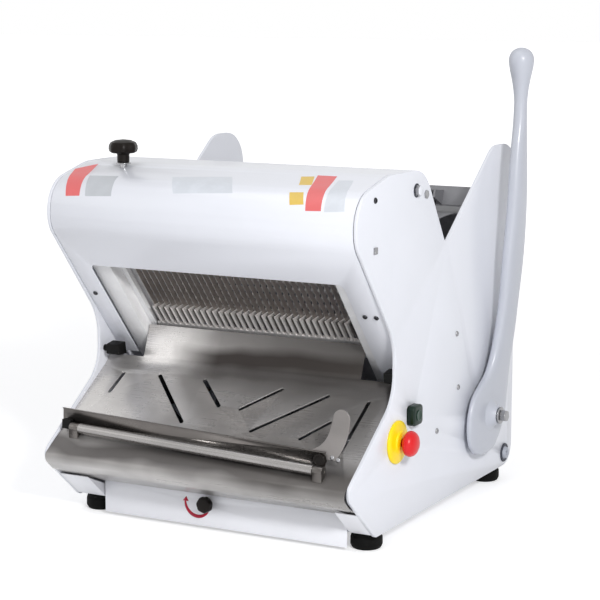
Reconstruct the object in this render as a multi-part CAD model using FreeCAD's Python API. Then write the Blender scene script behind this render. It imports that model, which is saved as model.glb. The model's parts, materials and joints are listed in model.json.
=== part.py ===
import FreeCAD, Part
import math
import os

# Table-top bread slicer with a hand feed lever, in millimetres.
# The front faces -Y, +Z is up and +X is the side that carries the lever.
# Profiles are drawn in the Y-Z plane, with Y = 0 at the rear and Z = 0 on the table,
# and every shape is moved to the bottom centre of the whole machine when it is saved.

V = FreeCAD.Vector

# ---- body ----
BODY_HALF_WIDTH = 300.0
PANEL_T = 6.0
PANEL_TOP = 628.0
WING_TOP = 646.0
PANEL_REAR = 14.0
PANEL_BOTTOM = 28.0
SIDE_GAP = 0.3
SHEET_T = 1.5
HOOD_T = 2.0
BASE_T = 3.0
WINDOW_X = -6.5
WINDOW_HALF_WIDTH = 249.5
WINDOW_TOP = 450.0
WINDOW_R = 10.0
HOOD_LIP_Y = -374.0
HOOD_LEG_END = 270.0
REACH = 1200.0

# ---- blades ----
BLADE_COUNT = 33
BLADE_PITCH = 12.5
BLADE_W = 12.0
BLADE_T = 0.6
BLADE_TILT = 40.3
BLADE_AHEAD = 21.8
BLADE_DROP = 5.5
CUT_TOP = 140.0
CUT_BOTTOM = -36.0
SERRATION_PITCH = 16.0
SERRATION_DEPTH = 2.2
STROKE = 12.0
FRAME_BAR_T = 8.0
FRAME_BAR_H = 12.0
FRAME_TOP = 186.0
FRAME_LOW = -68.0
RAIL_W = 13.7
RAIL_GAP = 6.0
RAIL_GRIP = 3.7
GUIDE_T = 10.0
GUIDE_FRONT = -36.0
GUIDE_REAR = 22.0
GUIDE_LOW = -128.0
GUIDE_TOP = 205.0
GUIDE_FLANGE_T = 2.0
GUIDE_FLANGE_W = 38.0
GUIDE_CLEAR = 0.3
TAB_W = 4.4
CLAMP_T = 1.3
CLAMP_H = 9.0

# ---- bread bed ----
PIVOT_Y = -150.0
PIVOT_Z = 155.0
BED_R = 366.0
BED_DEPTH = 8.0
BED_FRONT_ANGLE = 143.5
BED_REAR_ANGLE = 124.0
FLOOR_REAR_ANGLE = 82.0
DECK_RUN = 53.0
DECK_RISE = 6.5
COVER_RISE = 24.0
FINGER_W = 3.6
FINGER_SHIFT = -2.7
NOSE_AHEAD = 39.8
NOSE_DROP = 7.2
NOSE_ARM = 46.0
NOSE_DEPTH = 6.0

# ---- pusher and feed lever ----
SWING = 60.0
SHAFT_R = 12.5
RUN_CLEAR = 0.05
FIN_W = 3.4
FIN_SHIFT = 2.7
FIN_LOW = 6.0
FIN_HIGH = 34.0
PUSHER_TOP = 42.0
FIN_REACH = -14.0
PUSHER_BACK = 24.0
PLATE_T = 2.5
BAR_SIZE = 20.0
BAR_DROP = 28.0
ARM_GAP = 4.0
ARM_T = 10.0
ARM_W = 16.0
ARM_TIP = 8.0
HUB_R = 24.0
LEVER_GAP = 4.0
BOSS_R = 16.0
BOSS_END = 40.0
BALL_X = 50.0
BALL_R = 23.0
BALL_LEAN = 54.0
BALL_RISE = 647.0

# ---- drive ----
CRANK_S = -220.0
CRANK_R = 10.0
ECCENTRIC_R = 25.0
ROD_T = 10.0
ROD_END_S = -130.0
ROD_EYE_R = 11.0
ROD_X = 39.0
LUG_T = 8.0
LUG_BORE_R = 5.0
PULLEY_IN = 33.0
PULLEY_W = 14.0
CRANK_PULLEY_R = 45.0
MOTOR_PULLEY_R = 20.0
MOTOR_Y = -238.0
MOTOR_Z = 90.0
MOTOR_R = 48.0
MOTOR_LEN = 170.0
MOTOR_SHAFT_R = 8.0
BELT_T = 4.0
BELT_W = 10.0

# ---- front ----
DRAWER_HALF_WIDTH = 242.0
DRAWER_SHIFT = 9.0
DRAWER_TRAY_HALF = 230.0
DRAWER_FRONT_Y = -592.0
DRAWER_LOW = 6.0
DRAWER_HIGH = 65.0
DRAWER_DEPTH = 255.0
DRAWER_T = 1.5
DRAWER_KNOB_X = -17.0
DRAWER_KNOB_Z = 49.0
DRAWER_KNOB_STEM_R = 4.0
KNOB_X = -205.0
KNOB_Y = -560.0
KNOB_BASE_Z = 627.5
KNOB_STUD_R = 6.0
KNOB_STUD = 30.0
FOOT_R = 27.5
FOOT_IN = 32.0
FOOT_FRONT_Y = -552.0
FOOT_REAR_Y = -40.0
FLAP_Y = -648.0
FLAP_Z = 166.0
FLAP_TOP = 195.0
FLAP_TUBE_R = 8.8
FLAP_PIN_R = 4.0
FLAP_BEARING_W = 18.0
FLAP_SKEW = 2.9
FLAP_TURN_X = -200.0
HANDLE_T = 3.0
APRON_TOP = (-642.0, 79.0)
APRON_LOW = (-588.0, 32.3)
APRON_GAP = 2.3
GUSSET_TOP = 56.0
POST_X = 226.0
POST_FRONT = -212.0
POST_REAR = -186.0
POST_FLANGE = 26.0

# ---- what follows from these ----
HALF_IN = BODY_HALF_WIDTH - PANEL_T - SIDE_GAP
SIDE_IN = BODY_HALF_WIDTH - PANEL_T
TILT = math.radians(BLADE_TILT)
KNEE_Y = PIVOT_Y + BED_R * math.cos(math.radians(BED_FRONT_ANGLE))
KNEE_Z = PIVOT_Z + BED_R * math.sin(math.radians(BED_FRONT_ANGLE))
BLADE_ROOT_Y = KNEE_Y - BLADE_AHEAD
BLADE_ROOT_Z = KNEE_Z - BLADE_DROP
BED_NOSE_Y = KNEE_Y - NOSE_AHEAD
BED_NOSE_Z = KNEE_Z - NOSE_DROP
COMB_HALF = (BLADE_COUNT - 1) / 2.0 * BLADE_PITCH + 6.0
RAIL_INNER = COMB_HALF + RAIL_GAP
RAIL_OUTER = RAIL_INNER + RAIL_W
GUIDE_INNER = RAIL_OUTER - RAIL_GRIP
FLOOR_HALF_WIDTH = GUIDE_INNER + GUIDE_T + ARM_GAP
ARM_IN = FLOOR_HALF_WIDTH + ARM_GAP
LEVER_IN = BODY_HALF_WIDTH + LEVER_GAP
LEVER_OUT = BODY_HALF_WIDTH + BOSS_END
PULLEY_X = -(SIDE_IN - PULLEY_IN)
FOOT_X = BODY_HALF_WIDTH - FOOT_IN
DRAWER_LEFT = DRAWER_SHIFT - DRAWER_HALF_WIDTH
DRAWER_RIGHT = DRAWER_SHIFT + DRAWER_HALF_WIDTH
FLAP_LEFT = -BODY_HALF_WIDTH + 9.0
FLAP_RIGHT = BODY_HALF_WIDTH - 56.0
FLAP_TUBE_LEFT = FLAP_LEFT + 43.0
FLAP_TUBE_RIGHT = FLAP_RIGHT - 16.0
HANDLE_X = FLAP_RIGHT + 26.0

SAVED = {}


# ---------------------------------------------------------------- drawing helpers

def pt(y, z, x=0.0):
    return V(x, y, z)


def blade_point(s, b, x=0.0):
    """A point s up the blade plane and b behind it."""
    y = BLADE_ROOT_Y - s * math.sin(TILT) + b * math.cos(TILT)
    z = BLADE_ROOT_Z + s * math.cos(TILT) + b * math.sin(TILT)
    return V(x, y, z)


def polar(radius, angle, x=0.0):
    """A point on a circle about the lever's pivot."""
    a = math.radians(angle)
    return V(x, PIVOT_Y + radius * math.cos(a), PIVOT_Z + radius * math.sin(a))


def rounded_edges(corners, closed):
    """Straight runs through (y, z, r) corners, with an arc of radius r at each."""
    count = len(corners)
    points = [pt(c[0], c[1]) for c in corners]
    starts, ends, arcs = [], [], []
    for i in range(count):
        here = points[i]
        radius = corners[i][2]
        inner = closed or 0 < i < count - 1
        if not inner or radius <= 0:
            starts.append(here)
            ends.append(here)
            arcs.append(None)
            continue
        back = (points[i - 1] - here).normalize()
        ahead = (points[(i + 1) % count] - here).normalize()
        half = back.getAngle(ahead) / 2
        reach = radius / math.tan(half)
        bisector = (back + ahead).normalize()
        first = here + back * reach
        last = here + ahead * reach
        middle = here + bisector * (radius / math.sin(half) - radius)
        starts.append(first)
        ends.append(last)
        arcs.append(Part.Arc(first, middle, last).toShape())
    edges = []
    runs = count if closed else count - 1
    for i in range(count):
        if arcs[i] is not None:
            edges.append(arcs[i])
        if i < runs:
            nxt = starts[(i + 1) % count]
            if (nxt - ends[i]).Length > 1e-6:
                edges.append(Part.LineSegment(ends[i], nxt).toShape())
    return edges


def prism(edges, x0, x1):
    """The area inside the edges, as a solid from x0 to x1."""
    wire = Part.Wire(Part.__sortEdges__(edges))
    face = Part.Face(wire)
    face.translate(V(x0, 0, 0))
    return face.extrude(V(x1 - x0, 0, 0))


def slab(corners, x0, x1):
    return prism(rounded_edges(corners, True), x0, x1)


def offset_corners(corners, t):
    """The same open path moved t to its left, with its bends kept concentric."""
    moved = []
    count = len(corners)
    for i in range(count):
        here = pt(corners[i][0], corners[i][1])
        back = here - pt(corners[max(i - 1, 0)][0], corners[max(i - 1, 0)][1])
        ahead_i = min(i + 1, count - 1)
        ahead = pt(corners[ahead_i][0], corners[ahead_i][1]) - here
        if i == 0:
            back = ahead
        if i == count - 1:
            ahead = back
        back = back.normalize()
        ahead = ahead.normalize()
        left_back = V(0, -back.z, back.y)
        left_ahead = V(0, -ahead.z, ahead.y)
        mitre = (left_back + left_ahead).normalize()
        step = t / mitre.dot(left_back)
        turn = back.y * ahead.z - back.z * ahead.y
        radius = corners[i][2]
        if radius > 0:
            radius = radius - t if turn > 0 else radius + t
        place = here + mitre * step
        moved.append((place.y, place.z, max(radius, 0.0)))
    return moved


def bent_sheet(corners, t, x0, x1):
    """Sheet of thickness t to the left of an open path."""
    other = offset_corners(corners, t)
    closed = [(c[0], c[1], c[2] if 0 < i < len(corners) - 1 else 0) for i, c in enumerate(corners)]
    closed += [(c[0], c[1], c[2] if 0 < i < len(other) - 1 else 0) for i, c in enumerate(other)][::-1]
    return slab(closed, x0, x1)


def arc_band(r_in, r_out, a0, a1, x0, x1):
    """Part of a ring about the lever's pivot."""
    mid = (a0 + a1) / 2
    outer = Part.Arc(polar(r_out, a0), polar(r_out, mid), polar(r_out, a1)).toShape()
    inner = Part.Arc(polar(r_in, a0), polar(r_in, mid), polar(r_in, a1)).toShape()
    side0 = Part.LineSegment(polar(r_in, a0), polar(r_out, a0)).toShape()
    side1 = Part.LineSegment(polar(r_in, a1), polar(r_out, a1)).toShape()
    return prism([outer, side1, inner, side0], x0, x1)


def box(x0, x1, y0, y1, z0, z1):
    return Part.makeBox(x1 - x0, y1 - y0, z1 - z0, V(x0, y0, z0))


def rod_x(radius, x0, x1, centre):
    """A round bar along X through a point given in Y and Z."""
    return Part.makeCylinder(radius, x1 - x0, V(x0, centre.y, centre.z), V(1, 0, 0))


def ring_x(r_out, r_in, x0, x1, centre):
    return rod_x(r_out, x0, x1, centre).cut(rod_x(r_in, x0 - 1, x1 + 1, centre))


def blade_box(x0, x1, s0, s1, b0, b1):
    """A block square to the blade plane."""
    corners = [blade_point(s0, b0), blade_point(s1, b0), blade_point(s1, b1), blade_point(s0, b1)]
    return slab([(c.y, c.z, 0) for c in corners], x0, x1)


def fuse(shapes):
    result = shapes[0].fuse(shapes[1:]) if len(shapes) > 1 else shapes[0]
    return result.removeSplitter()


def revolve(points, centre, axis):
    """A turned piece: (radius, height) points about an axis through centre."""
    pts = [V(r, 0, h) for r, h in points]
    face = Part.Face(Part.makePolygon(pts + [pts[0]]))
    solid = face.revolve(V(0, 0, 0), V(0, 0, 1), 360)
    rotation = FreeCAD.Rotation(V(0, 0, 1), axis)
    solid.Placement = FreeCAD.Placement(centre, rotation)
    return solid


def swung_back(shape):
    """Turn a shape drawn at the closed end of the swing to its place at rest."""
    shape.rotate(V(0, PIVOT_Y, PIVOT_Z), V(1, 0, 0), -SWING)
    return shape


def both_sides(make):
    """The two mirrored copies of a piece on the left and the right."""
    right = make()
    left = right.mirror(V(0, 0, 0), V(1, 0, 0))
    return [left, right]


def save(name, shapes):
    """Write one node, moved to the bottom centre of the machine."""
    parts = shapes if isinstance(shapes, list) else [shapes]
    whole = Part.makeCompound(parts) if len(parts) > 1 else parts[0]
    SAVED[name] = whole


PIVOT = pt(PIVOT_Y, PIVOT_Z)


# ---------------------------------------------------------------- casing

FRONT_EDGE = [
    (-539.0, PANEL_TOP, 120.0),
    (-658.0, 598.0, 62.0),
    (-658.0, 524.0, 55.0),
]
WAIST = [
    (-511.0, 345.0, 98.0),
    (-511.0, 252.0, 75.0),
    (-693.0, 123.0, 20.0),
    (-583.0, PANEL_BOTTOM, 12.0),
]
HOPPER_VEE = [
    (PANEL_REAR, PANEL_BOTTOM, 40.0),
    (PANEL_REAR, WING_TOP, 65.0),
    (-98.0, WING_TOP, 60.0),
    (-310.0, 488.0, 12.0),
    (-400.0, PANEL_TOP, 70.0),
]
PANEL_OUTLINE = FRONT_EDGE + WAIST + HOPPER_VEE
BUSH_R = 18.0
ESTOP = pt(-506.0, 175.0)
START = pt(-447.0, 211.0)
GLAND = pt(-24.0, 53.0)
CONTROL_HOLE_R = 11.2
GLAND_R = 8.0


def crank_centre(x=0.0):
    return blade_point(CRANK_S, 0, x)


def side_panel(sign):
    outer = BODY_HALF_WIDTH * sign
    inner = SIDE_IN * sign
    panel = slab(PANEL_OUTLINE, min(outer, inner), max(outer, inner))
    holes = [rod_x(BUSH_R + RUN_CLEAR, -REACH, REACH, PIVOT)]
    if sign > 0:
        holes.append(rod_x(CONTROL_HOLE_R, 0, REACH, ESTOP))
        holes.append(rod_x(CONTROL_HOLE_R, 0, REACH, START))
        holes.append(rod_x(GLAND_R + RUN_CLEAR, 0, REACH, GLAND))
    return panel.cut(holes)


def hood():
    low, top = HOPPER_VEE[-2], HOPPER_VEE[-1]
    share = (HOOD_LIP_Y - low[0]) / (top[0] - low[0])
    lip_z = low[1] + share * (top[1] - low[1])
    path = [(HOOD_LIP_Y, lip_z, 0.0), top] + FRONT_EDGE
    slope = math.tan(TILT)
    end_y = FRONT_EDGE[-1][0] + (FRONT_EDGE[-1][1] - HOOD_LEG_END) * slope
    path.append((end_y, HOOD_LEG_END, 0.0))
    shell = bent_sheet(path, HOOD_T, -HALF_IN, HALF_IN)
    window = box(WINDOW_X - WINDOW_HALF_WIDTH, WINDOW_X + WINDOW_HALF_WIDTH,
                 FRONT_EDGE[-1][0] - WINDOW_R, end_y + WINDOW_R, HOOD_LEG_END - WINDOW_R, WINDOW_TOP)
    corners = [e for e in window.Edges if abs(e.BoundBox.ZMin - WINDOW_TOP) < 0.01 and e.BoundBox.XLength < 1]
    window = window.makeFillet(WINDOW_R, corners)
    knob_hole = Part.makeCylinder(KNOB_STUD_R + SIDE_GAP, REACH, V(KNOB_X, KNOB_Y, KNOB_BASE_Z - KNOB_STUD))
    return shell.cut([window, knob_hole])


def base_plate():
    return box(-HALF_IN, HALF_IN, -575.0, 5.0, PANEL_BOTTOM, PANEL_BOTTOM + BASE_T)


def front_aprons():
    """Two corner sheets with a gusset each, which close the front beside the crumb drawer."""
    path = [APRON_TOP + (0.0,), APRON_LOW + (0.0,)]
    web = [APRON_TOP + (0.0,), APRON_LOW + (0.0,), (APRON_LOW[0], GUSSET_TOP, 0.0)]
    right = DRAWER_RIGHT + APRON_GAP
    left = DRAWER_LEFT - APRON_GAP
    return [
        fuse([bent_sheet(path, SHEET_T, right, HALF_IN), slab(web, right, right + SHEET_T)]),
        fuse([bent_sheet(path, SHEET_T, -HALF_IN, left), slab(web, left - SHEET_T, left)]),
    ]


def ledge():
    """The edge where the deck behind the hopper meets the rear cover."""
    start = polar(BED_R, FLOOR_REAR_ANGLE)
    return pt(start.y + DECK_RUN, start.z + DECK_RISE)


def rear_cover():
    y = PANEL_REAR - 6.0
    low = PANEL_BOTTOM + BASE_T
    path = [(y, low, 0.0), (y, ledge().z + COVER_RISE, 14.0), (ledge().y, ledge().z, 0.0)]
    return bent_sheet(path, SHEET_T, -HALF_IN, HALF_IN)


def hopper_floor():
    return arc_band(BED_R - SHEET_T, BED_R, FLOOR_REAR_ANGLE, BED_REAR_ANGLE,
                    -FLOOR_HALF_WIDTH, FLOOR_HALF_WIDTH)


def rear_deck():
    start = polar(BED_R, FLOOR_REAR_ANGLE)
    path = [(ledge().y - 0.5, ledge().z - 0.3, 0.0), (start.y + 0.5, start.z, 0.0)]
    return bent_sheet(path, SHEET_T, -FLOOR_HALF_WIDTH, FLOOR_HALF_WIDTH)


# ---------------------------------------------------------------- bed comb

def gap_centres():
    half = (BLADE_COUNT - 1) / 2.0
    return [(i - half + 0.5) * BLADE_PITCH for i in range(BLADE_COUNT - 1)]


def finger_edges():
    """One bent bar on edge: curved run, flat lip through the blades and nose arm."""
    nose = pt(BED_NOSE_Y, BED_NOSE_Z)
    up = (blade_point(1, 0) - blade_point(0, 0)).normalize()
    back = (blade_point(0, 1) - blade_point(0, 0)).normalize()
    knee = polar(BED_R, BED_FRONT_ANGLE)
    inner_r = BED_R - BED_DEPTH
    rear_top = polar(BED_R, BED_REAR_ANGLE)
    rear_low = polar(inner_r, BED_REAR_ANGLE)
    knee_low = polar(inner_r, BED_FRONT_ANGLE)
    middle = (BED_FRONT_ANGLE + BED_REAR_ANGLE) / 2
    foot = nose - up * NOSE_ARM
    foot_back = foot + back * NOSE_DEPTH
    armpit = nose + back * NOSE_DEPTH - up * BED_DEPTH
    points = [foot, nose, knee]
    edges = [Part.LineSegment(a, b).toShape() for a, b in zip(points, points[1:])]
    edges.append(Part.Arc(knee, polar(BED_R, middle), rear_top).toShape())
    edges.append(Part.LineSegment(rear_top, rear_low).toShape())
    edges.append(Part.Arc(rear_low, polar(inner_r, middle), knee_low).toShape())
    edges.append(Part.LineSegment(knee_low, armpit).toShape())
    edges.append(Part.LineSegment(armpit, foot_back).toShape())
    edges.append(Part.LineSegment(foot_back, foot).toShape())
    return edges


def bed_comb():
    fingers = []
    edges = finger_edges()
    for centre in gap_centres():
        x = centre + FINGER_SHIFT
        fingers.append(prism(edges, x - FINGER_W / 2, x + FINGER_W / 2))
    nose = pt(BED_NOSE_Y, BED_NOSE_Z)
    nose_s = (nose - blade_point(0, 0)).dot(blade_point(1, 0) - blade_point(0, 0))
    nose_b = (nose - blade_point(0, 0)).dot(blade_point(0, 1) - blade_point(0, 0))
    low_s = nose_s - NOSE_ARM
    strip = blade_box(-COMB_HALF, COMB_HALF, low_s - 9.0, low_s + 0.5, nose_b, nose_b + NOSE_DEPTH)
    rear_bar = arc_band(BED_R - BED_DEPTH - 10.0, BED_R - BED_DEPTH + 0.5,
                        BED_REAR_ANGLE + 1.0, BED_REAR_ANGLE + 3.0, -FLOOR_HALF_WIDTH, FLOOR_HALF_WIDTH)
    return fuse(fingers + [strip, rear_bar])


# ---------------------------------------------------------------- blades and frames

def serrated_edge(s0, s1, b_edge):
    """Points of the wavy cutting edge, from s0 up to s1."""
    count = int((s1 - s0) / SERRATION_PITCH)
    step = (s1 - s0) / count
    points = []
    for i in range(count):
        points.append(blade_point(s0 + i * step, b_edge))
        points.append(blade_point(s0 + (i + 0.5) * step, b_edge - SERRATION_DEPTH))
    points.append(blade_point(s1, b_edge))
    return points


def blade(x, front):
    """One serrated blade with a narrow tab at each end."""
    half = BLADE_W / 2
    b0 = -half if front else half - TAB_W
    b1 = b0 + TAB_W
    top = FRAME_TOP - 2.0
    low = FRAME_LOW - FRAME_BAR_H + 2.0
    points = [blade_point(low, b0), blade_point(low, b1), blade_point(CUT_BOTTOM - 6, b1)]
    points += serrated_edge(CUT_BOTTOM, CUT_TOP, half)
    points += [blade_point(CUT_TOP + 6, b1), blade_point(top, b1), blade_point(top, b0)]
    points += [blade_point(CUT_TOP + 6, b0), blade_point(CUT_TOP, -half)]
    points += [blade_point(CUT_BOTTOM, -half), blade_point(CUT_BOTTOM - 6, b0)]
    clean = [p for i, p in enumerate(points) if (p - points[i - 1]).Length > 1e-6]
    edges = [Part.LineSegment(a, b).toShape() for a, b in zip(clean, clean[1:] + clean[:1])]
    return prism(edges, x - BLADE_T / 2, x + BLADE_T / 2)


def blade_places(front):
    half = (BLADE_COUNT - 1) / 2.0
    first = 0 if front else 1
    return [(i - half) * BLADE_PITCH for i in range(first, BLADE_COUNT, 2)]


def blade_set(front):
    return [blade(x, front) for x in blade_places(front)]


def frame_depth(front):
    """The b range of one frame's bars: the front set before the blades, the rear behind."""
    half = BLADE_W / 2
    if front:
        return -half - FRAME_BAR_T, -half
    return half, half + FRAME_BAR_T


def blade_frame(front):
    b0, b1 = frame_depth(front)
    low = FRAME_LOW - FRAME_BAR_H
    bars = [
        blade_box(-RAIL_OUTER + 4, RAIL_OUTER - 4, FRAME_TOP - FRAME_BAR_H, FRAME_TOP, b0, b1),
        blade_box(-RAIL_OUTER + 4, RAIL_OUTER - 4, low, FRAME_LOW, b0, b1),
        blade_box(RAIL_INNER, RAIL_OUTER, low, FRAME_TOP, b0, b1),
        blade_box(-RAIL_OUTER, -RAIL_INNER, low, FRAME_TOP, b0, b1),
    ]
    lug_x = ROD_X + ROD_T / 2 + 1.0
    x0, x1 = (lug_x, lug_x + LUG_T) if front else (-lug_x - LUG_T, -lug_x)
    stem = blade_box(x0, x1, ROD_END_S + 12, FRAME_LOW, b0, b1)
    eye = blade_box(x0, x1, ROD_END_S - 12, ROD_END_S + 14, min(b0, -9.0), max(b1, 9.0))
    lug = fuse([stem, eye]).cut(rod_x(LUG_BORE_R, x0 - 5, x1 + 5, blade_point(ROD_END_S, 0)))
    return fuse(bars + [lug])


def rod_pin(front):
    """The bolt in a frame's lug that the end of its connecting rod rides on."""
    lug_x = ROD_X + ROD_T / 2 + 1.0
    pin = fuse([rod_x(LUG_BORE_R, lug_x, lug_x + LUG_T, blade_point(ROD_END_S, 0)),
                rod_x(LUG_BORE_R + 4.0, lug_x + LUG_T, lug_x + LUG_T + 5.0, blade_point(ROD_END_S, 0))])
    return pin if front else pin.mirror(V(0, 0, 0), V(1, 0, 0))


def blade_clamps(front):
    """Two thin strips that hold the blade tabs against the frame's bars."""
    half = BLADE_W / 2
    b0 = -half + TAB_W if front else half - TAB_W - CLAMP_T
    top = FRAME_TOP - 2.0
    low = FRAME_LOW - FRAME_BAR_H + 2.0
    return [
        blade_box(-COMB_HALF, COMB_HALF, top - CLAMP_H, top, b0, b0 + CLAMP_T),
        blade_box(-COMB_HALF, COMB_HALF, low, low + CLAMP_H, b0, b0 + CLAMP_T),
    ]


def guide_plate():
    """A white plastic plate with two grooves for the rails and a flange beside the window."""
    web = blade_box(GUIDE_INNER, GUIDE_INNER + GUIDE_T, GUIDE_LOW, GUIDE_TOP, GUIDE_FRONT, GUIDE_REAR)
    flange = blade_box(GUIDE_INNER, GUIDE_INNER + GUIDE_FLANGE_W, GUIDE_LOW, GUIDE_TOP,
                       GUIDE_FRONT, GUIDE_FRONT + GUIDE_FLANGE_T)
    a0, a1 = frame_depth(True)
    c0, c1 = frame_depth(False)
    groove_x = RAIL_OUTER + GUIDE_CLEAR
    grooves = [
        blade_box(0, groove_x, GUIDE_LOW - 10, GUIDE_TOP + 10, a0 - GUIDE_CLEAR, a1 + GUIDE_CLEAR),
        blade_box(0, groove_x, GUIDE_LOW - 10, GUIDE_TOP + 10, c0 - GUIDE_CLEAR, c1 + GUIDE_CLEAR),
    ]
    return fuse([web, flange]).cut(grooves)


def guide_spacers():
    """Round posts that carry the guide plates on the side panels."""
    places = [blade_point(-88.0, 10.0), blade_point(192.0, -20.0), blade_point(192.0, 10.0),
              blade_point(-88.0, -24.0)]
    spacers = []
    for centre in places:
        spacers += both_sides(lambda: rod_x(8.0, GUIDE_INNER + GUIDE_T, SIDE_IN, centre))
    return spacers


# ---------------------------------------------------------------- pusher and lever

def fins():
    shapes = []
    for centre in gap_centres():
        x0 = centre + FIN_SHIFT - FIN_W / 2
        corners = [
            blade_point(FIN_LOW, PUSHER_BACK),
            blade_point(FIN_HIGH, PUSHER_BACK),
            blade_point(FIN_HIGH - 10, FIN_REACH),
            blade_point(FIN_LOW + 4, FIN_REACH),
        ]
        shapes.append(slab([(c.y, c.z, 0) for c in corners], x0, x0 + FIN_W))
    return shapes


def pusher_comb():
    half = SIDE_IN - 6.0
    back = blade_box(-half, half, FIN_LOW, PUSHER_TOP, PUSHER_BACK, PUSHER_BACK + PLATE_T)
    return swung_back(fuse(fins() + [back]))


def pusher_bar():
    """A square tube behind the pusher plate, carried by the two arms."""
    b0 = PUSHER_BACK + PLATE_T
    low = PUSHER_TOP - BAR_DROP
    outer = blade_box(-ARM_IN, ARM_IN, low, low + BAR_SIZE, b0, b0 + BAR_SIZE)
    inner = blade_box(-REACH, REACH, low + 2, low + BAR_SIZE - 2, b0 + 2, b0 + BAR_SIZE - 2)
    return swung_back(outer.cut(inner))


def pusher_arm():
    top = blade_point(PUSHER_TOP - BAR_DROP + BAR_SIZE / 2, PUSHER_BACK + PLATE_T + BAR_SIZE / 2)
    aim = (top - PIVOT).normalize()
    side = V(0, -aim.z, aim.y)
    end = top + aim * ARM_TIP
    half_w = ARM_W / 2
    corners = [PIVOT + side * half_w, PIVOT - side * half_w, end - side * half_w, end + side * half_w]
    rounded = [(c.y, c.z, half_w - 1 if i > 1 else 0.0) for i, c in enumerate(corners)]
    bar = slab(rounded, ARM_IN, ARM_IN + ARM_T)
    hub = rod_x(HUB_R, ARM_IN - 6, ARM_IN + ARM_T + 6, PIVOT)
    arm = fuse([bar, hub]).cut(rod_x(SHAFT_R, 0, REACH, PIVOT))
    return swung_back(arm)


def feed_shaft():
    return rod_x(SHAFT_R, -BODY_HALF_WIDTH - 2, LEVER_OUT + 2, PIVOT)


def shaft_bush():
    barrel = rod_x(BUSH_R, SIDE_IN - 12, BODY_HALF_WIDTH, PIVOT)
    flange = rod_x(BUSH_R + 7, SIDE_IN - 5, SIDE_IN, PIVOT)
    return fuse([barrel, flange]).cut(rod_x(SHAFT_R + RUN_CLEAR, 0, REACH, PIVOT))


def oval(x, y, z, half_y, half_x):
    """A level oval section of the lever."""
    centre = V(x, y, z)
    if half_y >= half_x:
        shape = Part.Ellipse(centre + V(0, half_y, 0), centre + V(half_x, 0, 0), centre)
    else:
        shape = Part.Ellipse(centre + V(half_x, 0, 0), centre + V(0, half_y, 0), centre)
    return Part.Wire([shape.toShape()])


# The feed lever from its leaf-shaped foot up to the ball: how far back of the pivot and
# above it, how far outside the panel, and the half width and half thickness there.
LEVER_STATIONS = [
    (-6.0, -72.0, 15.0, 22.0, 5.0),
    (-9.0, -54.0, 15.0, 58.0, 9.0),
    (-6.0, -34.0, 15.0, 74.0, 10.5),
    (0.0, -10.0, 15.0, 84.0, 11.0),
    (7.0, 20.0, 15.0, 84.0, 11.0),
    (15.0, 42.0, 16.0, 78.0, 11.2),
    (28.0, 59.0, 17.0, 64.0, 11.4),
    (40.0, 74.0, 18.0, 50.0, 11.6),
    (50.0, 104.0, 21.0, 41.0, 12.0),
    (56.0, 150.0, 26.0, 36.0, 12.5),
    (55.0, 206.0, 33.0, 33.0, 12.8),
    (51.0, 290.0, 42.0, 35.0, 13.4),
    (49.0, 371.0, 48.0, 30.0, 13.5),
    (48.0, 432.0, 50.0, 26.0, 13.5),
    (50.0, 492.0, 50.0, 20.0, 13.0),
    (53.0, 541.0, 50.0, 13.0, 12.3),
    (54.0, 580.0, 50.0, 12.5, 12.5),
    (54.0, 612.0, 50.0, 17.0, 17.0),
    (54.0, 640.0, 50.0, 22.2, 22.2),
]


def feed_lever():
    wires = [oval(BODY_HALF_WIDTH + out, PIVOT_Y + back, PIVOT_Z + up, half_y, half_x)
             for back, up, out, half_y, half_x in LEVER_STATIONS]
    arm = Part.makeLoft(wires, True, True)
    ball = Part.makeSphere(BALL_R, V(BODY_HALF_WIDTH + BALL_X, PIVOT_Y + BALL_LEAN, PIVOT_Z + BALL_RISE))
    boss = rod_x(BOSS_R, LEVER_IN + 1, LEVER_OUT, PIVOT)
    return fuse([arm, ball, boss]).cut(rod_x(SHAFT_R, 0, REACH, PIVOT))


def lever_bolt():
    washer = rod_x(16.0, LEVER_OUT + 2, LEVER_OUT + 5, PIVOT)
    head = rod_x(11.0, LEVER_OUT + 5, LEVER_OUT + 17, PIVOT)
    return fuse([washer, head])


# ---------------------------------------------------------------- drive

def eccentric_centre(front, x=0.0):
    return blade_point(CRANK_S, STROKE if front else -STROKE, x)


def crankshaft():
    pieces = [rod_x(CRANK_R, -SIDE_IN + 2, SIDE_IN - 2, crank_centre())]
    for front in (True, False):
        x = ROD_X if front else -ROD_X
        pieces.append(rod_x(ECCENTRIC_R, x - ROD_T / 2 - 1, x + ROD_T / 2 + 1, eccentric_centre(front)))
    return fuse(pieces)


def connecting_rod(front):
    x = ROD_X if front else -ROD_X
    big = eccentric_centre(front)
    small = blade_point(ROD_END_S, 0)
    aim = (small - big).normalize()
    side = V(0, -aim.z, aim.y)
    near = x - ROD_T / 2
    far = x + ROD_T / 2
    web = [big + side * 10 + aim * 20, big - side * 10 + aim * 20, small - side * 7, small + side * 7]
    body = fuse([
        rod_x(ECCENTRIC_R + 8, near, far, big),
        slab([(c.y, c.z, 0) for c in web], near, far),
        rod_x(ROD_EYE_R, near, far, small),
    ])
    bores = [rod_x(ECCENTRIC_R + RUN_CLEAR, near - 5, far + 5, big), rod_x(5.1, near - 5, far + 5, small)]
    return body.cut(bores)


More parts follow.
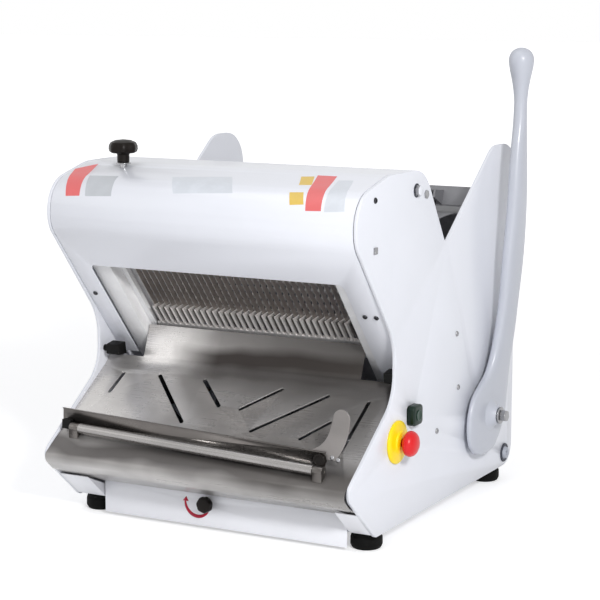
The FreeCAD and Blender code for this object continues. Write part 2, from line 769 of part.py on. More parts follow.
def crank_bearing():
    centre = crank_centre()
    flange = fuse([
        rod_x(30.0, SIDE_IN - 8, SIDE_IN, centre),
        rod_x(12.0, SIDE_IN - 8, SIDE_IN, centre + V(0, 0, 40)),
        rod_x(12.0, SIDE_IN - 8, SIDE_IN, centre - V(0, 0, 40)),
        box(SIDE_IN - 8, SIDE_IN, centre.y - 12, centre.y + 12, centre.z - 40, centre.z + 40),
        rod_x(22.0, SIDE_IN - 20, SIDE_IN - 8, centre),
    ])
    return flange.cut(rod_x(CRANK_R + RUN_CLEAR, 0, REACH, centre))


def pulley(radius, bore, centre):
    x0 = PULLEY_X - PULLEY_W / 2
    x1 = PULLEY_X + PULLEY_W / 2
    body = fuse([
        rod_x(radius, x0, x1, centre),
        rod_x(radius + 5, x0, x0 + 1.5, centre),
        rod_x(radius + 5, x1 - 1.5, x1, centre),
    ])
    return body.cut(rod_x(bore, x0 - 5, x1 + 5, centre))


MOTOR = pt(MOTOR_Y, MOTOR_Z)


def drive_belt():
    """A loop of belt that runs round both pulleys."""
    crank = crank_centre()
    line = MOTOR - crank
    span = line.Length
    aim = line.normalize()
    gap = 0.3
    shapes = []
    for grow in (gap, gap + BELT_T):
        r1 = CRANK_PULLEY_R + grow
        r2 = MOTOR_PULLEY_R + grow
        lean = math.asin((r1 - r2) / span)
        left = V(0, -aim.z, aim.y)
        up = aim * math.sin(lean) + left * math.cos(lean)
        down = aim * math.sin(lean) - left * math.cos(lean)
        a, b = crank + up * r1, MOTOR + up * r2
        c, d = MOTOR + down * r2, crank + down * r1
        edges = [
            Part.LineSegment(a, b).toShape(),
            Part.Arc(b, MOTOR + aim * r2, c).toShape(),
            Part.LineSegment(c, d).toShape(),
            Part.Arc(d, crank - aim * r1, a).toShape(),
        ]
        shapes.append(prism(edges, PULLEY_X - BELT_W / 2, PULLEY_X + BELT_W / 2))
    return shapes[1].cut(shapes[0])


def motor_body():
    x0 = PULLEY_X + PULLEY_W / 2 + 40
    x1 = x0 + MOTOR_LEN
    can = rod_x(MOTOR_R, x0, x1, MOTOR)
    cap = rod_x(MOTOR_R - 5, x1, x1 + 16, MOTOR)
    boss = rod_x(20.0, x0 - 8, x0, MOTOR)
    foot = box(x0 + 20, x1 - 20, MOTOR_Y - 40, MOTOR_Y + 40, PANEL_BOTTOM + BASE_T, PANEL_BOTTOM + BASE_T + 6)
    stem = box(x0 + 30, x1 - 30, MOTOR_Y - 24, MOTOR_Y + 24, PANEL_BOTTOM + BASE_T, MOTOR_Z)
    terminal = box(x0 + 40, x0 + 110, MOTOR_Y - 76, MOTOR_Y - 40, MOTOR_Z - 24, MOTOR_Z + 24)
    body = fuse([can, cap, boss, foot, stem, terminal])
    return body.cut(rod_x(MOTOR_SHAFT_R + RUN_CLEAR, x0 - 20, x0 + 40, MOTOR))


def motor_shaft():
    x0 = PULLEY_X - PULLEY_W / 2 - 2
    return rod_x(MOTOR_SHAFT_R, x0, PULLEY_X + PULLEY_W / 2 + 60, MOTOR)


# ---------------------------------------------------------------- outlet and front

CHUTE_PATH = [
    (-600.0, 67.0, 0.0),
    (-666.0, 96.0, 20.0),
    (-693.0, 120.5, 11.0),
    (-482.0, 260.5, 60.0),
    (-457.5, 326.0, 0.0),
]
TRAY_RISE = (CHUTE_PATH[3][1] - CHUTE_PATH[2][1]) / (CHUTE_PATH[3][0] - CHUTE_PATH[2][0])
LIP_CORNER_Z = 270.0
CHUTE_SLOTS = [
    (-243, -512, -247, -551),
    (-168, -508, -70, -594),
    (-74, -508, -18, -555),
    (82, -509, 26, -556),
    (174, -512, 69, -595),
    (203, -562, 166, -598),
    (253, -516, 250, -611),
]
SLOT_W = 7.0


def slot_cutter(x0, y0, x1, y1):
    """An upright round-ended cutter between two points seen from above."""
    start, end = V(x0, y0, 150), V(x1, y1, 150)
    aim = (end - start).normalize()
    side = V(-aim.y, aim.x, 0) * (SLOT_W / 2)
    edges = [
        Part.LineSegment(start + side, end + side).toShape(),
        Part.Arc(end + side, end + aim * (SLOT_W / 2), end - side).toShape(),
        Part.LineSegment(end - side, start - side).toShape(),
        Part.Arc(start - side, start - aim * (SLOT_W / 2), start + side).toShape(),
    ]
    face = Part.Face(Part.Wire(Part.__sortEdges__(edges)))
    return face.extrude(V(0, 0, 130))


def slice_chute():
    tray = bent_sheet(CHUTE_PATH, SHEET_T, -HALF_IN, HALF_IN)
    cutters = [slot_cutter(*slot) for slot in CHUTE_SLOTS]
    lip_end = GUIDE_INNER - 2.0
    cutters += both_sides(lambda: box(lip_end, REACH, CHUTE_PATH[3][0], 0, LIP_CORNER_Z, REACH))
    return tray.cut(cutters)


def drawer():
    front = box(DRAWER_LEFT, DRAWER_RIGHT,
                DRAWER_FRONT_Y, DRAWER_FRONT_Y + 2, DRAWER_LOW, DRAWER_HIGH)
    low = PANEL_BOTTOM + BASE_T + 0.3
    rear = DRAWER_FRONT_Y + DRAWER_DEPTH
    half = DRAWER_TRAY_HALF
    tray = box(-half, half, DRAWER_FRONT_Y + 2, rear, low, DRAWER_HIGH - 6)
    hollow = box(-half + DRAWER_T, half - DRAWER_T, DRAWER_FRONT_Y + 2, rear - DRAWER_T, low + DRAWER_T, REACH)
    knob_place = V(DRAWER_KNOB_X, DRAWER_FRONT_Y - 5, DRAWER_KNOB_Z)
    knob_hole = Part.makeCylinder(DRAWER_KNOB_STEM_R + RUN_CLEAR, 20, knob_place, V(0, 1, 0))
    return fuse([front.cut(knob_hole), tray.cut(hollow)])


def drawer_knob():
    stem = DRAWER_KNOB_STEM_R
    profile = [(0, 0), (stem, 0), (stem, 6), (9, 6), (15, 13), (16, 20), (13, 26), (0, 27)]
    return revolve(profile, V(DRAWER_KNOB_X, DRAWER_FRONT_Y + 4, DRAWER_KNOB_Z), V(0, -1, 0))


def hood_knob():
    profile = [(0, -KNOB_STUD), (KNOB_STUD_R, -KNOB_STUD), (KNOB_STUD_R, 0),
               (13, 0), (12, 14), (26, 21), (28, 30), (23, 40), (0, 43)]
    return revolve(profile, V(KNOB_X, KNOB_Y, KNOB_BASE_Z), V(0, 0, 1))


def foot(x, y):
    profile = [(0, 0), (FOOT_R - 4, 0), (FOOT_R, 6), (FOOT_R - 2, PANEL_BOTTOM), (0, PANEL_BOTTOM)]
    return revolve(profile, V(x, y, 0), V(0, 0, 1))


def feet():
    return [foot(x, y) for x in (-FOOT_X, FOOT_X) for y in (FOOT_FRONT_Y, FOOT_REAR_Y)]


FLAP_AXIS = pt(FLAP_Y, FLAP_Z)


def skewed(shape):
    """Turn a piece of the stop flap a little on the chute, with its right end forward."""
    shape.rotate(V(FLAP_TURN_X, FLAP_Y, FLAP_Z), V(0, -TRAY_RISE, 1), -FLAP_SKEW)
    return shape


def stop_flap():
    """A tube with a strip welded along its back, which tips forward about its end pins."""
    near = FLAP_Y + FLAP_TUBE_R - 0.2
    back = near + SHEET_T
    top = FLAP_TOP + SHEET_T
    tube = rod_x(FLAP_TUBE_R, FLAP_TUBE_LEFT, FLAP_TUBE_RIGHT, FLAP_AXIS)
    corners = [(near, FLAP_Z - 2, 0), (near, FLAP_TOP, 0), (near - 3, FLAP_TOP, 0), (near - 3, top, 0),
               (back, top, 1.2), (back, FLAP_Z - 2, 0)]
    strip = slab(corners, FLAP_LEFT, FLAP_RIGHT)
    pins = rod_x(FLAP_PIN_R, FLAP_TUBE_LEFT - FLAP_BEARING_W, FLAP_TUBE_RIGHT + FLAP_BEARING_W, FLAP_AXIS)
    return skewed(fuse([tube, strip, pins]))


def stop_handle():
    """A comma-shaped tongue bolted behind the right end of the strip."""
    y0 = FLAP_Y + FLAP_TUBE_R - 0.2 + SHEET_T

    def at(dx, dz):
        return V(HANDLE_X + dx, y0, FLAP_TOP + dz)

    edges = [
        Part.Arc(at(-58, 0), at(-33, 15), at(-19, 42)).toShape(),
        Part.LineSegment(at(-19, 42), at(-14, 60)).toShape(),
        Part.Arc(at(-14, 60), at(1, 76), at(16, 57)).toShape(),
        Part.Arc(at(16, 57), at(11, 26), at(-8, -11)).toShape(),
        Part.LineSegment(at(-8, -11), at(-58, -11)).toShape(),
        Part.LineSegment(at(-58, -11), at(-58, 0)).toShape(),
    ]
    face = Part.Face(Part.Wire(Part.__sortEdges__(edges)))
    return skewed(face.extrude(V(0, HANDLE_T, 0)))


def stop_bearings():
    """Two black blocks that stand on the chute and hold the pins of the flap."""
    shapes = []
    skin = SHEET_T / math.cos(math.atan(TRAY_RISE)) + 0.02
    for x0 in (FLAP_TUBE_LEFT - FLAP_BEARING_W - 0.5, FLAP_TUBE_RIGHT + 0.5):
        x1 = x0 + FLAP_BEARING_W
        near, far = FLAP_Y - 7, FLAP_Y + 7
        floor_near = CHUTE_PATH[2][1] + skin + (near - CHUTE_PATH[2][0]) * TRAY_RISE
        floor_far = CHUTE_PATH[2][1] + skin + (far - CHUTE_PATH[2][0]) * TRAY_RISE
        foot = slab([(near, floor_near, 0), (near, FLAP_Z, 0), (far, FLAP_Z, 0), (far, floor_far, 0)], x0, x1)
        block = fuse([foot, rod_x(FLAP_TUBE_R - 0.5, x0, x1, FLAP_AXIS)])
        bore = rod_x(FLAP_PIN_R + RUN_CLEAR, x0 - 1, x1 + 1, FLAP_AXIS)
        shapes.append(skewed(block.cut(bore)))
    return shapes


def chute_clips():
    """Black plastic catches on the panels that hold the chute's upper corners."""
    clips = []
    for sign, reach, width in ((-1, 37.0, 26.0), (1, 18.0, 18.0)):
        ends = sorted((sign * (SIDE_IN - reach), sign * (SIDE_IN - reach + width)))
        block = slab([(-508, 274, 3), (-508, 292, 3), (-484, 296, 3), (-480, 272, 3)], ends[0], ends[1])
        root = sorted((sign * (SIDE_IN - reach + 1), sign * SIDE_IN))
        stem = rod_x(6.0, root[0], root[1], pt(-496, 283))
        clips.append(fuse([block, stem]))
    return clips


def floor_posts():
    """Two upright plates that carry the hopper floor from the base plate."""
    low = PANEL_BOTTOM + BASE_T
    core = rod_x(BED_R - SHEET_T, -REACH, REACH, PIVOT)
    post = box(POST_X, POST_X + BASE_T, POST_FRONT, POST_REAR, low, PANEL_TOP)
    flange = box(POST_X - POST_FLANGE, POST_X, POST_FRONT, POST_REAR, low, low + BASE_T)
    return both_sides(lambda: fuse([post.common(core), flange]))


# ---------------------------------------------------------------- controls

def estop_base():
    ring = fuse([rod_x(37.0, BODY_HALF_WIDTH, BODY_HALF_WIDTH + 4, ESTOP),
                 rod_x(20.0, BODY_HALF_WIDTH + 4, BODY_HALF_WIDTH + 12, ESTOP),
                 rod_x(CONTROL_HOLE_R - 0.2, SIDE_IN - 6, BODY_HALF_WIDTH, ESTOP)])
    return ring.cut(rod_x(7.3, 0, REACH, ESTOP))


def estop_button():
    profile = [(0, -24), (7.0, -24), (7.0, 6), (14, 6), (20, 9), (22, 14), (20, 21), (14, 26), (0, 28)]
    return revolve(profile, V(BODY_HALF_WIDTH + 12, ESTOP.y, ESTOP.z), V(1, 0, 0))


def start_housing():
    body = box(BODY_HALF_WIDTH, BODY_HALF_WIDTH + 10,
               START.y - 15, START.y + 15, START.z - 15, START.z + 15)
    barrel = rod_x(CONTROL_HOLE_R - 0.2, SIDE_IN - 6, BODY_HALF_WIDTH, START)
    bores = [rod_x(9.3, BODY_HALF_WIDTH + 2, REACH, START), rod_x(6.3, 0, REACH, START)]
    return fuse([body, barrel]).cut(bores)


def start_button():
    cap = rod_x(9.0, BODY_HALF_WIDTH + 5, BODY_HALF_WIDTH + 12, START)
    stem = rod_x(6.0, SIDE_IN - 8, BODY_HALF_WIDTH + 5, START)
    return fuse([cap, stem])


def contact_block(centre):
    block = box(SIDE_IN - 46, SIDE_IN - 14, centre.y - 14, centre.y + 14, centre.z - 14, centre.z + 14)
    nut = ring_x(16.0, CONTROL_HOLE_R - 0.2, SIDE_IN - 6, SIDE_IN, centre)
    sleeve = ring_x(14.0, 8.0, SIDE_IN - 14, SIDE_IN - 6, centre)
    return fuse([block, nut, sleeve])


def cable_gland():
    body = fuse([rod_x(18.0, BODY_HALF_WIDTH, BODY_HALF_WIDTH + 3, GLAND),
                 rod_x(11.0, BODY_HALF_WIDTH + 3, BODY_HALF_WIDTH + 7, GLAND),
                 rod_x(GLAND_R, SIDE_IN - 17, BODY_HALF_WIDTH, GLAND)])
    return body.cut(rod_x(4.0, 0, REACH, GLAND))


# ---------------------------------------------------------------- fasteners

def screw_x(y, z, sign):
    """A domed screw head on the outer face of a side panel."""
    profile = [(0, 0), (5.0, 0), (5.0, 1.5), (3.5, 3.0), (0, 3.0)]
    return revolve(profile, V(BODY_HALF_WIDTH * sign, y, z), V(sign, 0, 0))


PANEL_SCREWS = [(-593, 592), (-592, 510), (-257, 321), (-248, 222), (-340, 160), (-395, 584)]


def panel_screws():
    return [screw_x(y, z, sign) for sign in (1, -1) for y, z in PANEL_SCREWS]


def hood_screws():
    """Domed screws through the legs of the hood."""
    shapes = []
    outward = blade_point(0, -1) - blade_point(0, 0)
    slope = math.tan(TILT)
    z = 392.0
    y = FRONT_EDGE[-1][0] + (FRONT_EDGE[-1][1] - z) * slope
    profile = [(0, 0), (4.5, 0), (4.5, 1.5), (3, 3), (0, 3)]
    for x in (-278, 260, 281):
        shapes.append(revolve(profile, V(x, y, z), outward))
    return shapes


# ---------------------------------------------------------------- write the nodes

def build():
    save("left_panel", side_panel(-1))
    save("right_panel", side_panel(1))
    save("hood", hood())
    save("base_plate", base_plate())
    save("front_aprons", front_aprons())
    save("rear_cover", rear_cover())
    save("rear_deck", rear_deck())
    save("hopper_floor", hopper_floor())
    save("bed_comb", bed_comb())
    save("blades_front_set", blade_set(True))
    save("blades_rear_set", blade_set(False))
    save("blade_frame_front", blade_frame(True))
    save("blade_frame_rear", blade_frame(False))
    save("guide_plates", both_sides(guide_plate))
    save("guide_spacers", guide_spacers())
    save("pusher_comb", pusher_comb())
    save("pusher_bar", pusher_bar())
    save("pusher_arms", both_sides(pusher_arm))
    save("feed_shaft", feed_shaft())
    save("shaft_bushes", both_sides(shaft_bush))
    save("feed_lever", feed_lever())
    save("lever_bolt", lever_bolt())
    save("crankshaft", crankshaft())
    save("connecting_rod_front", connecting_rod(True))
    save("connecting_rod_rear", connecting_rod(False))
    save("crank_bearings", both_sides(crank_bearing))
    save("crank_pulley", pulley(CRANK_PULLEY_R, CRANK_R, crank_centre()))
    save("motor_pulley", pulley(MOTOR_PULLEY_R, MOTOR_SHAFT_R, MOTOR))
    save("drive_belt", drive_belt())
    save("motor", motor_body())
    save("motor_shaft", motor_shaft())
    save("slice_chute", slice_chute())
    save("crumb_drawer", drawer())
    save("drawer_knob", drawer_knob())
    save("hood_knob", hood_knob())
    save("feet", feet())
    save("stop_flap", stop_flap())
    save("stop_handle", stop_handle())
    save("stop_bearings", stop_bearings())
    save("chute_clips", chute_clips())
    save("floor_posts", floor_posts())
    save("rod_pin_front", rod_pin(True))
    save("rod_pin_rear", rod_pin(False))
    save("blade_clamps_front", blade_clamps(True))
    save("blade_clamps_rear", blade_clamps(False))
    save("estop_base", estop_base())
    save("estop_button", estop_button())
    save("start_housing", start_housing())
    save("start_button", start_button())
    save("contact_blocks", [contact_block(ESTOP), contact_block(START)])
    save("cable_gland", cable_gland())
    save("panel_screws", panel_screws())
    save("hood_screws", hood_screws())


build()
bounds = FreeCAD.BoundBox()
for shape in SAVED.values():
    bounds.add(shape.optimalBoundingBox(False))
centre_y = (bounds.YMin + bounds.YMax) / 2
centre_x = (bounds.XMin + bounds.XMax) / 2
os.makedirs("parts", exist_ok=True)
for name, shape in SAVED.items():
    moved = shape.copy()
    moved.translate(V(-centre_x, -centre_y, -bounds.ZMin))
    moved.exportStep("parts/" + name + ".step")
    solids = len(moved.Solids)
    print(name, "solids", solids, "valid", moved.isValid(), "volume", round(moved.Volume / 1000, 1), "cm3")
spans = (bounds.XMin, bounds.XMax, bounds.YMin, bounds.YMax, bounds.ZMin, bounds.ZMax)
print("machine", [round(v, 2) for v in spans])
print("moved by", round(-centre_x, 3), round(-centre_y, 3), round(-bounds.ZMin, 3))
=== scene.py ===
import json
import math

import bmesh
import bpy
from bpy.props import FloatProperty, FloatVectorProperty, IntProperty, PointerProperty
from mathutils import Matrix, Vector
from mathutils.bvhtree import BVHTree


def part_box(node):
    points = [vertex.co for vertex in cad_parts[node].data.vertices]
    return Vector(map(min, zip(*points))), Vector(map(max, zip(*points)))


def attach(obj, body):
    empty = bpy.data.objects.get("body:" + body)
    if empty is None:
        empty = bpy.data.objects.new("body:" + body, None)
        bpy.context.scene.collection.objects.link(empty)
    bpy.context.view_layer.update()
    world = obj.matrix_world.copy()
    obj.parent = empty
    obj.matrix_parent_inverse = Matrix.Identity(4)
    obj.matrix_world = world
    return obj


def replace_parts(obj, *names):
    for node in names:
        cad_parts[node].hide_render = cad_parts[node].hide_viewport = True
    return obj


bl_info = {
    "name": "Bread slicer",
    "version": (1, 0, 0),
    "blender": (4, 5, 0),
    "location": "View3D > Sidebar > Bread slicer",
    "description": "Builds the finish, the small parts and the stage of a table-top bread slicer",
    "category": "Object",
}

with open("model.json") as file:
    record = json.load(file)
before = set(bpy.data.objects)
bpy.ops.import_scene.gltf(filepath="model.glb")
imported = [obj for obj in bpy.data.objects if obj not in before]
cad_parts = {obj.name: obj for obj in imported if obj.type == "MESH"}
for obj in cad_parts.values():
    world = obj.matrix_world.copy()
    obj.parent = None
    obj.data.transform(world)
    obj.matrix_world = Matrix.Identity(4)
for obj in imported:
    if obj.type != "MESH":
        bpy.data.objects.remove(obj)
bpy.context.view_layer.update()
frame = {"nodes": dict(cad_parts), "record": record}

# ---------------------------------------------------------------- measures

# Drawing measures are in millimetres: X from the middle of the casing, Y from its rear, Z from the table.
HALF_WIDTH = 300.0
REAR = 14.0
PANEL_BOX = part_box("right_panel")
ORIGIN = Vector((PANEL_BOX[1].x - HALF_WIDTH / 1000, PANEL_BOX[1].y - REAR / 1000, 0.0))

RIGHT, FRONT, UP = (1, 0, 0), (0, -1, 0), (0, 0, 1)
SIDES = ((1, "right"), (-1, "left"))

# The feed lever turns about PIVOT. Its sections: back and up from there, out from the panel,
# half depth and half thickness.
PIVOT = (HALF_WIDTH, -150.0, 155.0)
LEVER_SECTIONS = [
    (-6, -72, 15, 16, 3.5), (-7, -70, 15, 27, 5.5), (-9, -54, 15, 58, 9), (-6, -34, 15, 74, 10.5),
    (0, -10, 15, 83, 11), (7, 20, 15, 83, 11), (15, 42, 16, 77, 11.2), (28, 59, 17, 63, 11.4),
    (40, 74, 18, 50, 11.6), (50, 104, 21, 41, 12), (56, 150, 26, 36, 12.5), (55, 206, 33, 33, 12.8),
    (51, 290, 42, 35, 13.4), (49, 371, 48, 30, 13.5), (48, 432, 50, 26, 13.5), (50, 492, 50, 20, 13),
    (53, 541, 50, 13.4, 12.3), (54, 580, 50, 12.5, 12.5), (54, 612, 50, 17, 17),
    (54, 632, 50, 21.3, 21.3), (54, 647, 50, 22.9, 22.9), (54, 655, 50, 21.6, 21.6),
    (54, 662, 50, 17.5, 17.5), (54, 667, 50, 11.3, 11.3), (54, 669.4, 50, 5.2, 5.2),
]
LEVER_STEPS = 5

# The stop flap is drawn square to the chute and turned with it about FLAP_TURN.
FLAP_TURN = (-200.0, -648.0, 166.0)
FLAP_LEAN = 0.6635
FLAP_SKEW = math.radians(-2.9)
FLAP_FACE = -639.4
FLAP_BAR = (-247.5, -648.0, 166.0)
FLAP_BAR_LENGTH = 475.0
FLAP_BAR_RADIUS = 9.1
FLAP_BLOCK = [(-286, 161), (-267.5, 161), (-267.5, 178), (-286, 178)]
FLAP_BLOCK_DEPTH = 11.0
FLAP_NUT = (235.4, FLAP_FACE, 182.0)
HANDLE_FACE = FLAP_FACE + 1.7
HANDLE_BOLTS = ((256.0, 188.5), (267.0, 186.0))

# The rolled lip of the chute: the way its rivets point, and their places.
LIP_OUT = (0.0, -0.672, -0.741)
LIP_RIVETS = ((-251.7, -683.4, 111.8), (271.3, -679.5, 108.2))

# The crumb drawer's knob, and the arc of the turn arrow beside it, about (X, Z) on the drawer's face.
DRAWER_FACE = -592.0
DRAWER_KNOB = (-17.0, DRAWER_FACE, 49.0)
ARROW_MIDDLE = (-40.0, 47.0)
ARROW_RADIUS = 25.0
ARROW_START = math.radians(180.0)
ARROW_SWEEP = math.radians(146.0)
ARROW_STEPS = 24

# The labels are laid on the hood as seen from HOOD_MIDDLE. That and HINGE are (Y, Z), the feet are (X, Y).
HOOD_MIDDLE = (-530.0, 520.0)
HINGE = (-434, 594)
FEET = ((268, -552), (-268, -552), (268, -40), (-268, -40))
HOOD_KNOB = (-205.0, -560.0, 627.5)
STOP_BUTTON = (HALF_WIDTH, -506.0, 175.0)
START_BUTTON = (HALF_WIDTH, -447.0, 211.0)
CABLE_GLAND = (HALF_WIDTH, -24.0, 53.0)

# The most that the head of a screw stands off the left panel.
LEFT_HEAD = 3.0

# In metres, as the frame has them: the gap that welding closes, the under and upper side of a label
# about the hood's sheet, and the thickness of the grey sheet that paints shade inside the rear wall. A label
# has FILM_GRID fields across and up.
WELD = 0.000002
FILM_LAYERS = (-0.0004, 0.0003)
FILM_GRID = (10, 14)
SHADE_LINING_SHEET = 0.0004

# Colours painted on the chute: painted shade for each dark belt, and a dark steel that paints shade where its
# shine fades.
PAINTED_SHADE = (0.030, 0.023, 0.021)
PAINTED_SHADE_STEEL = (0.05, 0.045, 0.04)

# Bands of painted shade on the chute: lowest and highest place, left end, strength. Its painted shine fades to
# painted shade along X.
CHUTE_SHADE_BELTS = ((0.262, 0.294, -0.16, 0.97), (0.242, 0.340, -0.16, 0.62), (0.120, 0.152, -0.5, 0.8))
CHUTE_FADE = (-0.2, 0.15)

# The stage: lamps by name, place, size in metres and power in watts, all turned to LIT_POINT.
LAMPS = (
    ("Top light", (-200, -900, 2500), (1.6, 1.2), 9.0),
    ("Key light", (2120, -2480, 1650), (0.35, 0.35), 58.0),
    ("Left light", (-2200, -1900, 1300), (1.6, 1.6), 7.0),
)
LIT_POINT = (0, -320, 330)
SKY = (0.96, 0.97, 1.0, 1.0)
SKY_STRENGTH = 0.38
WHITE = (1.0, 1.0, 1.0, 1.0)
FLOOR_REACH = 30.0
FLOOR_ROUGHNESS = 0.75
FLOOR_GLOW_NEAR = (0.44, 0.44, 0.44)
FLOOR_GLOW_FAR = (0.85, 0.85, 0.85)
CAMERA = (1631.0, -3326.7, 923.8)
CAMERA_DOWN = 9.43
CAMERA_TURN = 28.25
CAMERA_LENS = 113.76
CAMERA_SHIFT = (0.0005, 0.011)


def at(x, y, z):
    """A drawing point in millimetres as a point of the frame in metres."""
    return ORIGIN + Vector((x, y, z)) / 1000


def on_flap(x, y, z):
    """A drawing point of the stop flap, turned with the flap to its place on the chute."""
    hub = Vector(FLAP_TURN)
    turn = Matrix.Rotation(FLAP_SKEW, 3, Vector((0.0, -FLAP_LEAN, 1.0)).normalized())
    return at(*(hub + turn @ (Vector((x, y, z)) - hub)))


# ---------------------------------------------------------------- shader building

class Wire:
    """A value socket that can stand in a sum."""

    def __init__(self, nodes, socket):
        self.nodes = nodes
        self.socket = socket

    def sum(self, operation, first, second):
        """The output of one Math node."""
        node = self.nodes.node("ShaderNodeMath", {"operation": operation}, {0: first, 1: second})
        return Wire(self.nodes, node.outputs[0])

    def __add__(self, other):
        return self.sum("ADD", self, other)

    def __radd__(self, other):
        return self.sum("ADD", other, self)

    def __sub__(self, other):
        return self.sum("SUBTRACT", self, other)

    def __rsub__(self, other):
        return self.sum("SUBTRACT", other, self)

    def __mul__(self, other):
        return self.sum("MULTIPLY", self, other)

    def __rmul__(self, other):
        return self.sum("MULTIPLY", other, self)


class Nodes:
    """The node tree of a material or of the world."""

    def __init__(self, tree):
        self.tree = tree

    def node(self, kind, settings, sockets):
        """A node of one kind: first its settings, then the values or links of its sockets."""
        node = self.tree.nodes.new(kind)
        for name, value in settings.items():
            setattr(node, name, value)
        for key, value in sockets.items():
            if isinstance(value, Wire):
                value = value.socket
            if isinstance(value, bpy.types.NodeSocket):
                self.tree.links.new(value, node.inputs[key])
            else:
                node.inputs[key].default_value = value
        return node

    def background_rays(self):
        """1 for rays that show the background itself: from the camera, off gloss or through glass."""
        path = self.node("ShaderNodeLightPath", {}, {})
        seen = Wire(self, path.outputs["Is Camera Ray"])
        gloss = Wire(self, path.outputs["Is Glossy Ray"])
        glass = Wire(self, path.outputs["Is Transmission Ray"])
        return 1 - (1 - seen) * (1 - gloss) * (1 - glass)

    def mix_shaders(self, factor, first, second):
        """One shader where the factor is 0, the other where it is 1."""
        sockets = {0: factor, 1: first.outputs[0], 2: second.outputs[0]}
        return self.node("ShaderNodeMixShader", {}, sockets).outputs[0]


class Surface(Nodes):
    """A material that is built up from nodes. Its fixed values are set on the shader's own sockets."""

    def __init__(self, name, **fixed):
        self.material = bpy.data.materials.new(name)
        self.material.use_nodes = True
        super().__init__(self.material.node_tree)
        self.shader = self.tree.nodes["Principled BSDF"]
        for socket, value in fixed.items():
            self.shader.inputs[socket.replace("_", " ")].default_value = value

    def place(self, stretch=(1, 1, 1)):
        """The place on the object in metres, stretched along the axes."""
        where = self.node("ShaderNodeTexCoord", {}, {}).outputs["Object"]
        return self.node("ShaderNodeMapping", {}, {"Vector": where, "Scale": stretch}).outputs[0]

    def along(self, axis):
        """Metres along one axis of the frame."""
        node = self.node("ShaderNodeSeparateXYZ", {}, {0: self.place()})
        return Wire(self, node.outputs[axis])

    def noise(self, scale, detail=2.0, roughness=0.5, stretch=(1, 1, 1)):
        """Soft random values about 0.5, more of them to the metre as the scale grows."""
        node = self.node("ShaderNodeTexNoise", {}, {
            "Vector": self.place(stretch), "Scale": scale, "Detail": detail, "Roughness": roughness})
        return Wire(self, node.outputs["Fac"])

    def spread(self, value, low, high, out_low=0.0, out_high=1.0):
        """The value, with low..high mapped to out_low..out_high and clamped there."""
        node = self.node("ShaderNodeMapRange", {}, {
            "Value": value, "From Min": low, "From Max": high, "To Min": out_low, "To Max": out_high})
        return Wire(self, node.outputs[0])

    def blend(self, factor, first, second):
        """One colour where the factor is 0, the other where it is 1. Each is a socket or three numbers."""
        first, second = (colour if isinstance(colour, bpy.types.NodeSocket) else (*colour, 1.0)
                         for colour in (first, second))
        node = self.node("ShaderNodeMix", {"data_type": "RGBA"}, {0: factor, 6: first, 7: second})
        return node.outputs[2]

    def belt(self, low, high, left):
        """The mask of a band of painted shade: 1 between two heights, with wavering soft edges, from a place
        on the left on.
        """
        height = self.along("Z") + (self.noise(6.0, 2.0) - 0.5) * 0.045
        rise = self.spread(height, low - 0.012, low + 0.012)
        fall = self.spread(height, high - 0.006, high + 0.012, 1.0, 0.0)
        return rise * fall * self.spread(self.along("X"), left - 0.04, left + 0.06)

    def feed(self, socket, value):
        """Link a value or colour to a socket of the shader."""
        source = value.socket if isinstance(value, Wire) else value
        self.tree.links.new(source, self.shader.inputs[socket])

    def relief(self, height, depth, strength=1.0):
        """A fine relief, its depth in metres."""
        bump = self.node("ShaderNodeBump", {}, {"Height": height, "Distance": depth, "Strength": strength})
        self.feed("Normal", bump.outputs[0])


def darker(colour, share):
    """A share of a colour."""
    return tuple(c * share for c in colour)


def enamel(name, colour, rough=0.34, peel=0.5):
    """Baked enamel: an even colour, a soft gloss and a faint orange peel."""
    s = Surface(name, Coat_Weight=0.25, Coat_Roughness=0.12)
    cloud = s.spread(s.noise(7.0, 4.0), 0.35, 0.65)
    speck = s.spread(s.noise(60.0, 3.0, 0.7), 0.62, 0.78)
    tone = s.blend(cloud, darker(colour, 0.975), colour)
    s.feed("Base Color", s.blend(speck * 0.12, tone, darker(colour, 0.86)))
    s.feed("Roughness", cloud * 0.06 + rough)
    s.relief(s.noise(420.0, 2.0), 0.00005, peel)
    return s.material


def brushed(name, colour, rough=0.3, grain=(4.0, 260.0, 260.0), shade=0.72, wear=0.25, scale=5.5,
            metal=1.0, shade_belts=(), fade=None):
    """Sheet steel with a straight grain, clouds and stains, bands of painted shade and a painted shine that
    fades to painted shade along X.
    """
    s = Surface(name, Metallic=metal)
    line = s.noise(3.0, 3.0, 0.6, grain)
    cloud = s.spread(s.noise(scale, 3.0, 0.55, (1.0, 1.6, 1.6)), 0.35, 0.68)
    stain = s.spread(s.noise(24.0, 4.0, 0.6), 0.5, 0.74)
    base = s.blend(cloud, darker(colour, shade), colour)
    base = s.blend(stain * wear, base, darker(colour, 0.6))
    base = s.blend(s.spread(line, 0.3, 0.7) * 0.35, base, darker(colour, 0.84))
    matt = line * 0.10 + cloud * -0.06 + stain * 0.08 + rough
    # Each belt darkens the steel towards one colour: painted shade.
    for low, high, left, share in shade_belts:
        belt = s.belt(low, high, left)
        base = s.blend(belt * share, base, PAINTED_SHADE)
        matt = matt + belt * (share * 0.16)
    # Painted reflection and shade: the steel keeps its colour towards the left and goes half way to a dark
    # steel towards the right.
    if fade:
        base = s.blend(s.spread(s.along("X"), *fade), base, s.blend(0.5, base, PAINTED_SHADE_STEEL))
    s.feed("Base Color", base)
    s.feed("Roughness", matt)
    s.relief(line + s.noise(9.0, 2.0) * 4.0, 0.00005, 0.6)
    return s.material


def polished(name, colour, rough, metal=1.0):
    """Ground steel with fine scratches along its length."""
    s = Surface(name, Metallic=metal)
    scratch = s.noise(30.0, 3.0, 0.6, (40.0, 1.0, 1.0))
    s.feed("Base Color", s.blend(s.spread(scratch, 0.4, 0.7), colour, darker(colour, 0.8)))
    s.feed("Roughness", scratch * 0.12 + rough)
    return s.material


